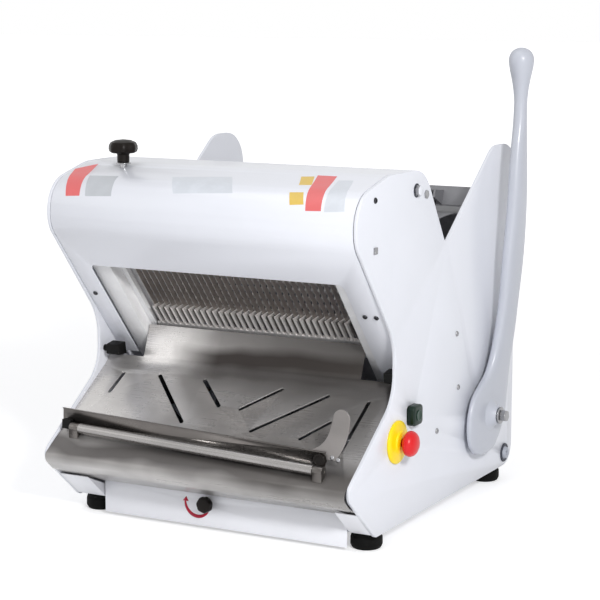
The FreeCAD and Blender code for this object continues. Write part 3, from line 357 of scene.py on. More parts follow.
def cast(name, colour, rough, grain):
    """Cast metal with a fine rough skin."""
    s = Surface(name, Metallic=1.0)
    skin = s.noise(grain, 4.0, 0.65)
    cloud = s.spread(s.noise(16.0, 3.0), 0.35, 0.65)
    s.feed("Base Color", s.blend(cloud, darker(colour, 0.86), colour))
    s.feed("Roughness", skin * 0.2 + (rough - 0.1))
    s.relief(skin, 0.00018, 0.6)
    return s.material


def moulded(name, colour, rough, shine=0.5):
    """Moulded plastic or rubber with a fine texture and slight wear."""
    s = Surface(name, Specular_IOR_Level=shine)
    skin = s.noise(520.0, 2.0)
    worn = s.spread(s.noise(42.0, 3.0, 0.6), 0.45, 0.75)
    lighter = tuple(min(1.0, c * 1.15 + 0.004) for c in colour)
    s.feed("Base Color", s.blend(worn * 0.5, colour, lighter))
    s.feed("Roughness", worn * 0.12 + rough)
    s.relief(skin, 0.00006, 0.5)
    return s.material


# ---------------------------------------------------------------- sizes and colours

def colour(name, description, default):
    """A colour that the user may change."""
    return FloatVectorProperty(name=name, description=description, default=default, size=3,
                               subtype="COLOR", min=0.0, max=1.0)


class SlicerSizes(bpy.types.PropertyGroup):
    """Sizes of the parts that the scene adds or rounds off."""

    edge: FloatProperty(name="Sheet edge", description="Rounding of the cut edges of the sheets",
                        default=0.0006, unit="LENGTH", min=0.0001, max=0.002)
    block_edge: FloatProperty(name="Block edge", description="Rounding of bars, blocks and turned parts",
                              default=0.0008, unit="LENGTH", min=0.0001, max=0.003)
    hood_gap: FloatProperty(name="Hood gap", description="Gap between the hood and each side panel",
                            default=0.0014, unit="LENGTH", min=0.0, max=0.004)
    turns: IntProperty(name="Round steps", description="Facets round a turned part",
                       default=72, min=24, max=160)


class SlicerColours(bpy.types.PropertyGroup):
    """Colours of the finishes."""

    casing: colour("Casing", "White enamel of the casing", (0.80, 0.815, 0.87))
    steel: colour("Sheet steel", "Brushed steel of the chute", (0.68, 0.66, 0.645))
    strip: colour("Flap steel", "Darker steel of the stop flap", (0.19, 0.175, 0.165))
    blade: colour("Blades", "Ground steel of the blades", (0.68, 0.62, 0.58))
    finger: colour("Fingers", "Satin steel of the bed fingers", (0.90, 0.87, 0.85))
    pusher: colour("Pusher", "Dull steel of the pusher and the hopper", (0.27, 0.27, 0.285))
    slides: colour("Slides", "White paint and plastic of the blade slides", (0.86, 0.86, 0.87))
    lever: colour("Lever", "Grey enamel of the feed lever", (0.52, 0.54, 0.60))
    red: colour("Stop red", "Emergency stop mushroom", (0.70, 0.008, 0.012))
    yellow: colour("Stop yellow", "Emergency stop base", (0.98, 0.72, 0.002))
    green: colour("Start green", "Start button and its housing", (0.004, 0.030, 0.016))


# ---------------------------------------------------------------- finishes

FINISHES = {}


def finishes(context):
    """The finishes by name, made once."""
    if FINISHES:
        return FINISHES
    group = context.scene.slicer_colours
    own = {name: tuple(getattr(group, name)) for name in SlicerColours.__annotations__}
    FINISHES.update({
        "casing": enamel("White enamel", own["casing"]),
        # A lighter copy of the casing enamel: painted light that lifts the drawer and the front aprons out of
        # shade.
        "drawer": enamel("White drawer enamel", (0.93, 0.94, 0.985)),
        # The chute's steel carries bands of painted shade and a painted shine that fades along X.
        "steel": brushed("Brushed steel", own["steel"], 0.26, shade=0.62, wear=0.3, scale=4.0, metal=0.6,
                         shade_belts=CHUTE_SHADE_BELTS, fade=CHUTE_FADE),
        "bar": brushed("Flap bar steel", (0.40, 0.385, 0.375), 0.24, metal=0.9),
        "strip": brushed("Flap steel", own["strip"], 0.26, shade=0.55, wear=0.3, metal=0.85),
        "blade": polished("Blade steel", own["blade"], 0.30, 0.9),
        "finger": polished("Satin fingers", own["finger"], 0.32, 0.5),
        "pusher": brushed("Dull pusher steel", own["pusher"], 0.46, (40.0, 40.0, 4.0), metal=0.5),
        # A grey sheet over the white enamel inside the rear wall: painted shade.
        "lining": brushed("Lining steel", (0.50, 0.50, 0.52), 0.5, metal=0.15),
        "alloy": brushed("Milled alloy", (0.40, 0.41, 0.43), 0.36),
        "slides": enamel("White slide paint", own["slides"], 0.42),
        "guide": moulded("White slide plastic", own["slides"], 0.5),
        "lever": enamel("Grey enamel", own["lever"], 0.36, 0.9),
        "handle": brushed("Handle steel", (0.30, 0.28, 0.27), 0.34, metal=0.5),
        "shaft": polished("Turned steel", (0.42, 0.42, 0.43), 0.22),
        "bronze": cast("Oiled bronze", (0.60, 0.40, 0.18), 0.42, 300.0),
        "black": moulded("Black plastic", (0.005, 0.005, 0.005), 0.5, shine=0.12),
        "knob": moulded("Black knob", (0.006, 0.004, 0.003), 0.34, shine=0.16),
        "rubber": moulded("Foot rubber", (0.003, 0.003, 0.003), 0.7, shine=0.12),
        "belt": moulded("Belt rubber", (0.016, 0.016, 0.016), 0.7),
        "grommet": moulded("Grommet rubber", (0.045, 0.048, 0.065), 0.5, shine=0.3),
        "plug": moulded("Grey plug", (0.42, 0.44, 0.50), 0.45),
        "motor": enamel("Motor enamel", (0.045, 0.055, 0.07), 0.45),
        "iron": cast("Machined iron", (0.20, 0.20, 0.21), 0.45, 240.0),
        "red": moulded("Red plastic", own["red"], 0.3, shine=0.4),
        "yellow": moulded("Yellow plastic", own["yellow"], 0.34, shine=0.4),
        "green": moulded("Green plastic", own["green"], 0.3, shine=0.3),
        "dark_green": moulded("Dark green plastic", darker(own["green"], 0.45), 0.36, shine=0.3),
        "red_mark": moulded("Red label film", (0.74, 0.15, 0.15), 0.38),
        "arrow": moulded("Red arrow film", (0.50, 0.01, 0.04), 0.42, shine=0.3),
        "yellow_mark": moulded("Yellow label film", (0.72, 0.50, 0.10), 0.38),
        "grey_mark": moulded("Grey label film", (0.52, 0.54, 0.57), 0.34),
        "pale_mark": moulded("Pale label film", (0.66, 0.69, 0.74), 0.30),
        "screw": polished("Plated screws", (0.34, 0.34, 0.35), 0.24),
        "dark_screw": polished("Blackened screws", (0.05, 0.05, 0.055), 0.3),
    })
    return FINISHES


def body_of(node):
    """The body that carries a node of the frame."""
    for body, nodes in frame["record"]["behaviour"]["bodies"].items():
        if node in nodes:
            return body
    raise ValueError(node)


def coat(node, material):
    """Give a node of the frame its finish."""
    slots = frame["nodes"][node].data.materials
    if len(slots) == 0:
        slots.append(material)
    for i in range(len(slots)):
        slots[i] = material


# ---------------------------------------------------------------- mesh building

def mesh_from(work):
    """The mesh of a bmesh, which is then let go."""
    mesh = bpy.data.meshes.new("mesh")
    work.to_mesh(mesh)
    work.free()
    return mesh


def piece(name, mesh, material, carrier):
    """A finished piece that rides on the body of a node of the frame."""
    mesh.name = name
    item = bpy.data.objects.new(name, mesh)
    bpy.context.scene.collection.objects.link(item)
    mesh.materials.clear()
    mesh.materials.append(material)
    mesh.shade_smooth()
    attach(item, body_of(carrier))
    return item


def loft(rings, place=at, loop=False):
    """A closed skin through rings of points; loop joins the last ring to the first."""
    work = bmesh.new()
    rows = [[work.verts.new(place(*point)) for point in ring] for ring in rings]
    pairs = list(zip(rows, rows[1:] + rows[:1])) if loop else list(zip(rows, rows[1:]))
    count = len(rows[0])
    for low, high in pairs:
        for i in range(count):
            j = (i + 1) % count
            work.faces.new((low[i], low[j], high[j], high[i]))
    if not loop:
        work.faces.new(rows[0][::-1])
        work.faces.new(rows[-1])
    bmesh.ops.remove_doubles(work, verts=work.verts, dist=1e-6)
    bmesh.ops.dissolve_degenerate(work, dist=1e-7, edges=work.edges)
    bmesh.ops.recalc_face_normals(work, faces=work.faces)
    return mesh_from(work)


def turned(profile, base, axis, steps=None, lobes=0, depth=0.0, place=at, loop=False):
    """A turned piece from (radius, height) points, with lobes round its rim where asked."""
    steps = steps or bpy.context.scene.slicer_sizes.turns
    axis = Vector(axis).normalized()
    side = axis.orthogonal().normalized()
    other = axis.cross(side)
    widest = max(radius for radius, height in profile)
    rings = []
    for radius, height in profile:
        ring = []
        share = max(0.0, radius / widest - 0.5) * 2.0
        for k in range(steps):
            angle = math.tau * k / steps
            r = radius * (1.0 - depth * share * (0.5 - 0.5 * math.cos(lobes * angle)))
            ring.append(Vector(base) + axis * height + (side * math.cos(angle) + other * math.sin(angle)) * r)
        rings.append(ring)
    return loft(rings, place, loop)


def slab(outline, first, last, place=at):
    """A flat piece: an outline of (x, z) points between two depths along Y."""
    return loft([[(x, y, z) for x, z in outline] for y in (first, last)], place)


def dome(radius, height):
    """The profile of a low domed head that stands a little into its seat."""
    steps = 6
    points = [(0.0, -0.5), (radius, -0.5)]
    for k in range(steps + 1):
        angle = math.pi / 2 * k / steps
        points.append((radius * math.cos(angle), height * math.sin(angle)))
    return points


def low_head(profile):
    """The head of a screw on the left, where there is less room beside the panel."""
    return [(radius, min(height, LEFT_HEAD)) for radius, height in profile[:-2]] + [(0, LEFT_HEAD)]


def round_corners(half_a, half_b, radius):
    """A rectangle with round corners, as (a, b) points."""
    steps = 6
    points = []
    for k, (sa, sb) in enumerate(((1, 1), (-1, 1), (-1, -1), (1, -1))):
        for i in range(steps + 1):
            angle = math.pi / 2 * (k + i / steps)
            points.append((sa * (half_a - radius) + radius * math.cos(angle),
                           sb * (half_b - radius) + radius * math.sin(angle)))
    return points


def smooth_run(rows, parts):
    """Rows of numbers with rows between them, on a curve through all of them."""
    spots = [0.0]
    for a, b in zip(rows, rows[1:]):
        spots.append(spots[-1] + max(1e-6, math.hypot(b[0] - a[0], b[1] - a[1])))
    slopes = []
    last = len(rows) - 1
    for i in range(len(rows)):
        lo, hi = max(i - 1, 0), min(i + 1, last)
        if lo == i or hi == i:
            slopes.append([(b - a) / (spots[hi] - spots[lo]) for a, b in zip(rows[lo], rows[hi])])
            continue
        before, after = spots[i] - spots[lo], spots[hi] - spots[i]
        slopes.append([((c - b) / after * before + (b - a) / before * after) / (before + after)
                       for a, b, c in zip(rows[lo], rows[i], rows[hi])])
    run = [rows[0]]
    for i in range(last):
        length = spots[i + 1] - spots[i]
        for k in range(1, parts + 1):
            t = k / parts
            blend = (2 * t ** 3 - 3 * t ** 2 + 1, (t ** 3 - 2 * t ** 2 + t) * length,
                     3 * t ** 2 - 2 * t ** 3, (t ** 3 - t ** 2) * length)
            run.append([blend[0] * p + blend[1] * m + blend[2] * q + blend[3] * n
                        for p, m, q, n in zip(rows[i], slopes[i], rows[i + 1], slopes[i + 1])])
    return run


def oval(x, y, z, half_y, half_x, steps):
    """A level section: round on the handle, fuller at its corners where the lever is flat."""
    power = 2.0 / (2.0 + 0.7 * min(1.0, max(0.0, half_y / half_x - 1.0)))
    ring = []
    for k in range(steps):
        angle = math.tau * k / steps
        c, s = math.cos(angle), math.sin(angle)
        ring.append((x + half_x * math.copysign(abs(c) ** power, c),
                     y + half_y * math.copysign(abs(s) ** power, s), z))
    return ring


def rounded(item, width):
    """Round the sharp edges of a piece and keep its flat faces flat."""
    bevel = item.modifiers.new("Edges", "BEVEL")
    bevel.width = width
    bevel.segments = 2
    bevel.limit_method = "ANGLE"
    bevel.angle_limit = math.radians(30.0)
    bevel.harden_normals = True
    bevel.use_clamp_overlap = True
    return item


def welded(node):
    """A bmesh of a node of the frame with its faces joined at their edges."""
    work = bmesh.new()
    work.from_mesh(frame["nodes"][node].data)
    bmesh.ops.remove_doubles(work, verts=work.verts, dist=WELD)
    return work


def dressed(node, material, width, narrow=0.0):
    """A node's own shape with rounded edges in its place; narrow draws its two ends in along X."""
    work = welded(node)
    bmesh.ops.dissolve_limit(work, angle_limit=math.radians(0.6), verts=work.verts, edges=work.edges)
    if narrow:
        low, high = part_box(node)
        for vert in work.verts:
            if abs(vert.co.x - low.x) < 1e-4:
                vert.co.x += narrow
            elif abs(vert.co.x - high.x) < 1e-4:
                vert.co.x -= narrow
    item = rounded(piece(node + "_skin", mesh_from(work), material, node), width)
    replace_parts(item, node)
    return item


def lining(name, node, material):
    """A thin grey sheet that paints shade on the faces of a node that look into the hopper, above the base."""
    work = welded(node)
    work.normal_update()
    lowest = at(0, 0, 90).z
    away = [face for face in work.faces if face.normal.y > -0.3 or face.calc_center_median().z < lowest]
    bmesh.ops.delete(work, geom=away, context="FACES")
    item = piece(name, mesh_from(work), material, node)
    item.data.set_sharp_from_angle(angle=math.radians(30))
    shell = item.modifiers.new("Sheet", "SOLIDIFY")
    shell.thickness = SHADE_LINING_SHEET
    shell.offset = 1.0
    return item


def on_hood(skin, x, angle, lift):
    """The point of the hood seen from its middle at an angle, lifted off the sheet."""
    outside = 0.4
    middle = at(x, *HOOD_MIDDLE)
    away = Vector((0.0, math.cos(math.radians(angle)), math.sin(math.radians(angle))))
    point, normal, index, distance = skin.ray_cast(middle + away * outside, -away)
    if point is None:
        raise ValueError("the hood isn't under this mark")
    return point + normal * lift


def rim(grid):
    """The points round the edge of a grid, in order."""
    right = [row[-1] for row in grid[1:]]
    left = [row[0] for row in grid[-2:0:-1]]
    return grid[0] + right + grid[-1][-2::-1] + left


def mark(name, corners, material):
    """A thin plain label that follows the hood; its corners are (x, angle) pairs in turn."""
    sheet = bmesh.new()
    sheet.from_mesh(frame["nodes"]["hood"].data)
    skin = BVHTree.FromBMesh(sheet)
    sheet.free()
    wide, high = FILM_GRID
    work = bmesh.new()

    def spot(u, v, lift):
        x, angle = ((a * (1 - u) + b * u) * (1 - v) + (d * (1 - u) + c * u) * v
                    for a, b, c, d in zip(*corners))
        return work.verts.new(on_hood(skin, x, angle, lift))

    layers = [[[spot(j / wide, i / high, lift) for j in range(wide + 1)] for i in range(high + 1)]
              for lift in FILM_LAYERS]
    for grid in layers:
        for i in range(high):
            for j in range(wide):
                work.faces.new((grid[i][j], grid[i][j + 1], grid[i + 1][j + 1], grid[i + 1][j]))
    under, over = (rim(grid) for grid in layers)
    for i in range(len(under)):
        j = (i + 1) % len(under)
        work.faces.new((under[i], under[j], over[j], over[i]))
    bmesh.ops.recalc_face_normals(work, faces=work.faces)
    item = piece(name, mesh_from(work), material, "hood")
    item.data.set_sharp_from_angle(angle=math.radians(40))
    return item


def turn_arrow():
    """A plain arc with one arrow head, flat on the face of the drawer."""
    x, z = ARROW_MIDDLE
    outer, inner = [], []
    for k in range(ARROW_STEPS + 1):
        angle = ARROW_START + ARROW_SWEEP * k / ARROW_STEPS
        half = 1.7 + 1.4 * math.sin(math.pi * k / ARROW_STEPS)
        for edge, radius in ((outer, ARROW_RADIUS + half), (inner, ARROW_RADIUS - half)):
            edge.append((x + radius * math.cos(angle), z + radius * math.sin(angle)))
    foot_x = x + ARROW_RADIUS * math.cos(ARROW_START)
    foot_z = z + ARROW_RADIUS * math.sin(ARROW_START)
    head = [(foot_x + 6.5, foot_z), (foot_x + 2.0, foot_z + 8.5), (foot_x - 5.0, foot_z)]
    return slab(outer + inner[::-1] + head, DRAWER_FACE - 0.35, DRAWER_FACE + 0.2)


# ---------------------------------------------------------------- operators

class SlicerOperator:
    """What all operators of the slicer share."""

    bl_options = {"REGISTER", "UNDO"}


class SLICER_OT_casing(SlicerOperator, bpy.types.Operator):
    """Side panels, hood, rear wall, base and front aprons"""

    bl_idname = "slicer.casing"
    bl_label = "Casing"

    def execute(self, context):
        f = finishes(context)
        sizes = context.scene.slicer_sizes
        for node in ("left_panel", "right_panel", "rear_cover", "base_plate"):
            dressed(node, f["casing"], sizes.edge)
        # The front aprons wear the lighter drawer enamel: painted light.
        dressed("front_aprons", f["drawer"], sizes.edge)
        dressed("hood", f["casing"], sizes.edge, narrow=sizes.hood_gap)
        return {"FINISHED"}


class SLICER_OT_hopper(SlicerOperator, bpy.types.Operator):
    """Loaf bed, fingers, posts, rear deck and a grey sheet that paints shade inside the rear wall"""

    bl_idname = "slicer.hopper"
    bl_label = "Hopper"

    def execute(self, context):
        f = finishes(context)
        coat("bed_comb", f["finger"])
        for node in ("hopper_floor", "rear_deck", "floor_posts"):
            coat(node, f["pusher"])
        lining("rear_lining", "rear_cover", f["lining"])
        return {"FINISHED"}


class SLICER_OT_blades(SlicerOperator, bpy.types.Operator):
    """Blades, their frames, clamps and guides"""

    bl_idname = "slicer.blades"
    bl_label = "Blades"

    def execute(self, context):
        f = finishes(context)
        for node in ("blades_front_set", "blades_rear_set", "blade_clamps_front", "blade_clamps_rear"):
            coat(node, f["blade"])
        for node in ("blade_frame_front", "blade_frame_rear"):
            coat(node, f["slides"])
        dressed("guide_plates", f["guide"], context.scene.slicer_sizes.edge)
        coat("guide_spacers", f["shaft"])
        return {"FINISHED"}


class SLICER_OT_drive(SlicerOperator, bpy.types.Operator):
    """Motor, belt, pulleys, crankshaft and connecting rods"""

    bl_idname = "slicer.drive"
    bl_label = "Drive"

    def execute(self, context):
        f = finishes(context)
        for node in ("crankshaft", "motor_shaft", "rod_pin_front", "rod_pin_rear"):
            coat(node, f["shaft"])
        for node in ("connecting_rod_front", "connecting_rod_rear", "crank_bearings", "crank_pulley",
                     "motor_pulley"):
            coat(node, f["iron"])
        coat("drive_belt", f["belt"])
        coat("motor", f["motor"])
        return {"FINISHED"}


class SLICER_OT_feed(SlicerOperator, bpy.types.Operator):
    """Feed lever with its boss and bolt, shaft, arms and pusher"""

    bl_idname = "slicer.feed"
    bl_label = "Feed lever and pusher"

    def execute(self, context):
        f = finishes(context)
        sizes = context.scene.slicer_sizes
        x, y, z = PIVOT
        rings = [oval(x + out, y + back, z + up, half_y, half_x, sizes.turns)
                 for back, up, out, half_y, half_x in smooth_run(LEVER_SECTIONS, LEVER_STEPS)]
        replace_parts(piece("feed_lever_skin", loft(rings), f["lever"], "feed_lever"), "feed_lever")
        boss = [(12.6, 6.0), (15.5, 6.0), (15.5, 20.0), (33.0, 24.0), (26.0, 27.6), (20.5, 32.0),
                (17.0, 37.0), (15.4, 40.0), (12.6, 40.0)]
        boss_mesh = turned(boss, PIVOT, RIGHT, loop=True)
        rounded(piece("lever_boss", boss_mesh, f["lever"], "feed_lever"), sizes.block_edge)
        washer = [(0.0, 42.0), (15.2, 42.0), (16.0, 42.8), (16.0, 44.2), (15.0, 45.0), (0.0, 45.0)]
        disc = piece("lever_bolt_washer", turned(washer, PIVOT, RIGHT), f["screw"], "lever_bolt")
        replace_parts(rounded(disc, sizes.edge), "lever_bolt")
        head = [(0.0, 45.0), (11.0, 45.0), (11.0, 55.2), (9.6, 57.0), (0.0, 57.0)]
        head_mesh = turned(head, PIVOT, RIGHT, steps=6)
        rounded(piece("lever_bolt_head", head_mesh, f["screw"], "lever_bolt"), sizes.block_edge)
        coat("feed_shaft", f["shaft"])
        coat("shaft_bushes", f["bronze"])
        coat("pusher_comb", f["pusher"])
        coat("pusher_arms", f["alloy"])
        coat("pusher_bar", f["pusher"])
        return {"FINISHED"}


class SLICER_OT_outlet(SlicerOperator, bpy.types.Operator):
    """Chute, stop flap and crumb drawer"""

    bl_idname = "slicer.outlet"
    bl_label = "Outlet"

    def execute(self, context):
        f = finishes(context)
        sizes = context.scene.slicer_sizes
        dressed("slice_chute", f["steel"], sizes.edge)
        dressed("stop_flap", f["strip"], sizes.edge)
        dressed("stop_handle", f["handle"], sizes.edge)
        bar = [(0.0, 0.0), (FLAP_BAR_RADIUS, 0.0), (FLAP_BAR_RADIUS, FLAP_BAR_LENGTH), (0.0, FLAP_BAR_LENGTH)]
        tube = turned(bar, FLAP_BAR, RIGHT, place=on_flap)
        rounded(piece("flap_bar", tube, f["bar"], "stop_flap"), sizes.edge)
        dressed("stop_bearings", f["strip"], sizes.block_edge)
        dressed("chute_clips", f["black"], sizes.block_edge)
        # The drawer's lighter enamel is painted light.
        dressed("crumb_drawer", f["drawer"], sizes.edge)
        block = slab(FLAP_BLOCK, FLAP_FACE - FLAP_BLOCK_DEPTH, FLAP_FACE, on_flap)
        rounded(piece("flap_block", block, f["black"], "stop_flap"), sizes.block_edge * 2)
        nut = [(0.0, -0.5), (12.0, -0.5), (12.0, 5.5), (10.8, 7.0), (7.4, 7.4), (6.8, 6.2), (0.0, 6.0)]
        nut_mesh = turned(nut, FLAP_NUT, FRONT, lobes=8, depth=0.06, place=on_flap)
        rounded(piece("flap_nut", nut_mesh, f["knob"], "stop_flap"), sizes.edge)
        for i, (x, z) in enumerate(HANDLE_BOLTS):
            bolt = turned(dome(4.2, 2.2), (x, HANDLE_FACE, z), FRONT, place=on_flap)
            piece("handle_bolt_%d" % (i + 1), bolt, f["screw"], "stop_flap")
        for i, spot in enumerate(LIP_RIVETS):
            rivet = turned(dome(3.6, 0.9), spot, LIP_OUT)
            piece("lip_rivet_%d" % (i + 1), rivet, f["screw"], "slice_chute")
        return {"FINISHED"}


class SLICER_OT_knobs(SlicerOperator, bpy.types.Operator):
    """Hood knob, drawer knob, turn arrow and feet"""

    bl_idname = "slicer.knobs"
    bl_label = "Knobs and feet"

    def execute(self, context):
        f = finishes(context)
        sizes = context.scene.slicer_sizes
        head = [(0, 2.5), (10.6, 2.5), (10.8, 16.5), (12.5, 18.6), (21, 19.2), (24.6, 21.5), (26, 26),
                (25.6, 32), (22.5, 37.6), (14, 41.4), (0, 43)]
        head_mesh = turned(head, HOOD_KNOB, UP, lobes=7, depth=0.08)
        knob = piece("hood_knob_head", head_mesh, f["knob"], "hood_knob")
        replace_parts(rounded(knob, sizes.edge), "hood_knob")
        stem = [(0, -30), (6, -30), (6, 0.2), (13.0, 0.2), (13.0, 1.8), (11.4, 2.6), (0, 2.6)]
        stem_mesh = turned(stem, HOOD_KNOB, UP)
        rounded(piece("hood_knob_stem", stem_mesh, f["shaft"], "hood_knob"), sizes.edge)
        grip = [(0, -4), (3.95, -4), (3.95, 2), (8, 2.2), (9, 5), (12.6, 8.5), (14.8, 12.5), (14.8, 18),
                (13, 21.6), (8, 23), (0, 23)]
        grip_mesh = turned(grip, DRAWER_KNOB, FRONT, lobes=7, depth=0.07)
        pull = piece("drawer_knob_grip", grip_mesh, f["knob"], "drawer_knob")
        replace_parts(rounded(pull, sizes.edge), "drawer_knob")
        piece("turn_arrow", turn_arrow(), f["arrow"], "crumb_drawer")
        foot = [(0, 0), (22.5, 0), (24.6, 1.2), (27.0, 5.5), (27.5, 8), (27.3, 19.5), (26.2, 21),
                (26.2, 22.5), (25.6, 23.2), (25.6, 28), (0, 28)]
        for i, (x, y) in enumerate(FEET):
            item = piece("foot_%d" % (i + 1), turned(foot, (x, y, 0.0), UP), f["rubber"], "feet")
            rounded(item, sizes.edge)
            if i == 0:
                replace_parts(item, "feet")
        return {"FINISHED"}


class SLICER_OT_controls(SlicerOperator, bpy.types.Operator):
    """Emergency stop, start button and cable gland"""

    bl_idname = "slicer.controls"
    bl_label = "Controls"

    def execute(self, context):
        f = finishes(context)
        sizes = context.scene.slicer_sizes
        plate = [(7.5, 0.0), (36.4, 0.0), (37.0, 1.0), (37.0, 3.4), (35.5, 5.0), (29.0, 7.0), (22.0, 8.2),
                 (20.5, 9.0), (20.0, 11.6), (19.0, 12.0), (7.5, 12.0)]
        plate_mesh = turned(plate, STOP_BUTTON, RIGHT, loop=True)
        base = piece("estop_plate", plate_mesh, f["yellow"], "estop_base")
        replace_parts(rounded(base, sizes.edge), "estop_base")
        cap = [(0, -12), (7, -12), (7, 17.6), (13, 17.8), (17.6, 19.0), (20.8, 21.6), (22, 25.5),
               (21.8, 29.0), (20.2, 32.6), (17.2, 35.8), (12.8, 38.2), (7.0, 39.6), (0, 40)]
        button = piece("estop_cap", turned(cap, STOP_BUTTON, RIGHT), f["red"], "estop_button")
        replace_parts(button, "estop_button")

        x, y, z = START_BUTTON
        rings = [[(x + out, y + a, z + b) for a, b in round_corners(half + 0.8, half, half * 0.45)]
                 for out, half in ((0.0, 17.4), (12.0, 17.4), (13.6, 16.4), (14.4, 14.2))]
        housing = piece("start_body", loft(rings), f["dark_green"], "start_housing")
        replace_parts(housing, "start_housing")
        disc = [(0, 5), (10.0, 5), (10.0, 15.2), (9.2, 16.0), (7.4, 15.4), (0, 15.2)]
        start = piece("start_disc", turned(disc, START_BUTTON, RIGHT), f["green"], "start_button")
        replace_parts(rounded(start, sizes.edge), "start_button")
        coat("contact_blocks", f["black"])

        ring = [(12.4, 0.0), (17.4, 0.0), (18.0, 0.8), (17.6, 2.4), (16.4, 3.0), (13.4, 3.0), (12.4, 2.2)]
        ring_mesh = turned(ring, CABLE_GLAND, RIGHT, loop=True)
        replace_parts(piece("gland_ring", ring_mesh, f["grommet"], "cable_gland"), "cable_gland")
        nose = [(4.0, 0.0), (12.6, 0.0), (12.4, 2.6), (11.0, 3.6), (10.6, 6.2), (9.4, 7.0), (5.0, 7.0),
                (4.0, 6.2)]
        piece("gland_nose", turned(nose, CABLE_GLAND, RIGHT, loop=True), f["plug"], "cable_gland")
        return {"FINISHED"}


class SLICER_OT_marks(SlicerOperator, bpy.types.Operator):
    """Plain labels on the hood"""

    bl_idname = "slicer.marks"
    bl_label = "Plain labels"

    def execute(self, context):
        f = finishes(context)
        labels = [
            ("label_red_left", "red_mark", "stop_red",
             ((-291, 119), (-262, 103), (-236, 154.2), (-264, 155))),
            ("label_grey_left", "grey_mark", "panel_white",
             ((-240, 132.5), (-184, 130.5), (-172, 153), (-224, 154.2))),
            ("label_pale_middle", "pale_mark", "panel_white",
             ((-80, 126.5), (28, 118.6), (60, 144.4), (-52, 147.8))),
            ("label_red_right", "red_mark", "stop_red",
             ((176, 103.8), (212, 103.8), (232, 154.8), (204, 155.3))),
            ("label_yellow_top", "yellow_mark", "stop_yellow",
             ((150, 109), (173, 107), (188, 127), (166, 128.5))),
            ("label_yellow_low", "yellow_mark", "stop_yellow",
             ((163, 140.4), (188, 139.6), (198, 150.6), (173, 151.6))),
            ("label_pale_right", "pale_mark", "panel_white",
             ((224, 113.7), (250, 112.2), (274, 154.2), (238, 155.3))),
        ]
        for name, finish, slot, corners in labels:
            mark(name, corners, f[finish])
        return {"FINISHED"}


class SLICER_OT_fasteners(SlicerOperator, bpy.types.Operator):
    """Panel screws, hood screws and the nuts of the hood's hinge"""

    bl_idname = "slicer.fasteners"
    bl_label = "Fasteners"

    def execute(self, context):
        f = finishes(context)
        sizes = context.scene.slicer_sizes
        socket = [(0, -0.5), (5.0, -0.5), (5.0, 1.0), (4.6, 1.9), (3.7, 2.7), (2.4, 3.0), (2.2, 1.0), (0, 1.0)]
        square = [(0, -0.5), (8.0, -0.5), (8.0, 2.3), (7.0, 3.0), (0, 3.0)]
        nut = [(0, -0.5), (9.6, -0.5), (9.6, 7.0), (8.6, 7.8), (0, 7.8)]
        heads = [
            (-593, 592, "dark_screw", socket, 24),
            (-592, 510, "screw", square, 4),
            (-257, 321, "screw", socket, 24),
            (-248, 222, "screw", socket, 24),
            (-340, 160, "screw", socket, 24),
            (-395, 584, "screw", square, 6),
            (*HINGE, "screw", nut, 6),
        ]
        for side, word in SIDES:
            for i, (y, z, finish, profile, facets) in enumerate(heads):
                head = low_head(profile) if side < 0 else profile
                mesh = turned(head, (side * HALF_WIDTH, y, z), (side, 0, 0), steps=facets)
                screw = piece("panel_screw_%s_%d" % (word, i + 1), mesh, f[finish], "panel_screws")
                rounded(screw, sizes.edge)
                if side == 1 and i == 0:
                    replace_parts(screw, "panel_screws")
        cap = [(0, 7.6), (8.2, 7.6), (8.2, 8.4), (7.2, 9.0), (0, 9.0)]
        cap_mesh = turned(cap, (HALF_WIDTH, *HINGE), RIGHT)
        piece("hinge_cap", cap_mesh, f["casing"], "panel_screws")
        seal = [(9.0, -0.4), (12.0, -0.4), (12.0, 0.6), (9.0, 0.6)]
        for side, word in SIDES:
            seal_mesh = turned(seal, (side * HALF_WIDTH, *HINGE), (side, 0, 0), loop=True)
            piece("hinge_seal_" + word, seal_mesh, f["grommet"], "panel_screws")
        dressed("hood_screws", f["dark_screw"], sizes.edge)
        return {"FINISHED"}


# ---------------------------------------------------------------- stage

def lamp(name, place, size, power):
    """A soft rectangular lamp that looks at the machine."""
    data = bpy.data.lights.new(name, "AREA")
    data.shape = "RECTANGLE"
    data.size, data.size_y = size
    data.energy = power
    item = bpy.data.objects.new(name, data)
    item.location = at(*place)
    item.rotation_euler = (at(*LIT_POINT) - at(*place)).to_track_quat("-Z", "Y").to_euler()
    bpy.context.scene.collection.objects.link(item)


def floor():
    """A wide flat floor."""
    mesh = bpy.data.meshes.new("Floor")
    corners = [(x * FLOOR_REACH, y * FLOOR_REACH, 0) for x, y in ((-1, -1), (1, -1), (1, 1), (-1, 1))]
    mesh.from_pydata(corners, [], [(0, 1, 2, 3)])
    mesh.materials.append(pale_floor())
    item = bpy.data.objects.new("Floor", mesh)
    bpy.context.scene.collection.objects.link(item)


def pale_floor():
    """A pale floor that shows white where no shadow falls and keeps the soft shadow."""
    s = Surface("Pale floor", Roughness=FLOOR_ROUGHNESS)
    patch = s.spread(s.noise(0.8, 3.0), 0.3, 0.7)
    tone = s.blend(patch, (0.90, 0.90, 0.905), (0.93, 0.93, 0.935))
    s.feed("Base Color", tone)
    reach = s.along("X") * s.along("X") + s.along("Y") * s.along("Y")
    glow = s.blend(s.spread(reach, 0.6, 14.0), FLOOR_GLOW_NEAR, FLOOR_GLOW_FAR)
    bright = s.node("ShaderNodeBsdfPrincipled", {}, {
        "Base Color": tone, "Roughness": FLOOR_ROUGHNESS, "Emission Color": glow, "Emission Strength": 1.0})
    mixed = s.mix_shaders(s.background_rays(), s.shader, bright)
    s.tree.links.new(mixed, s.tree.nodes["Material Output"].inputs["Surface"])
    return s.material


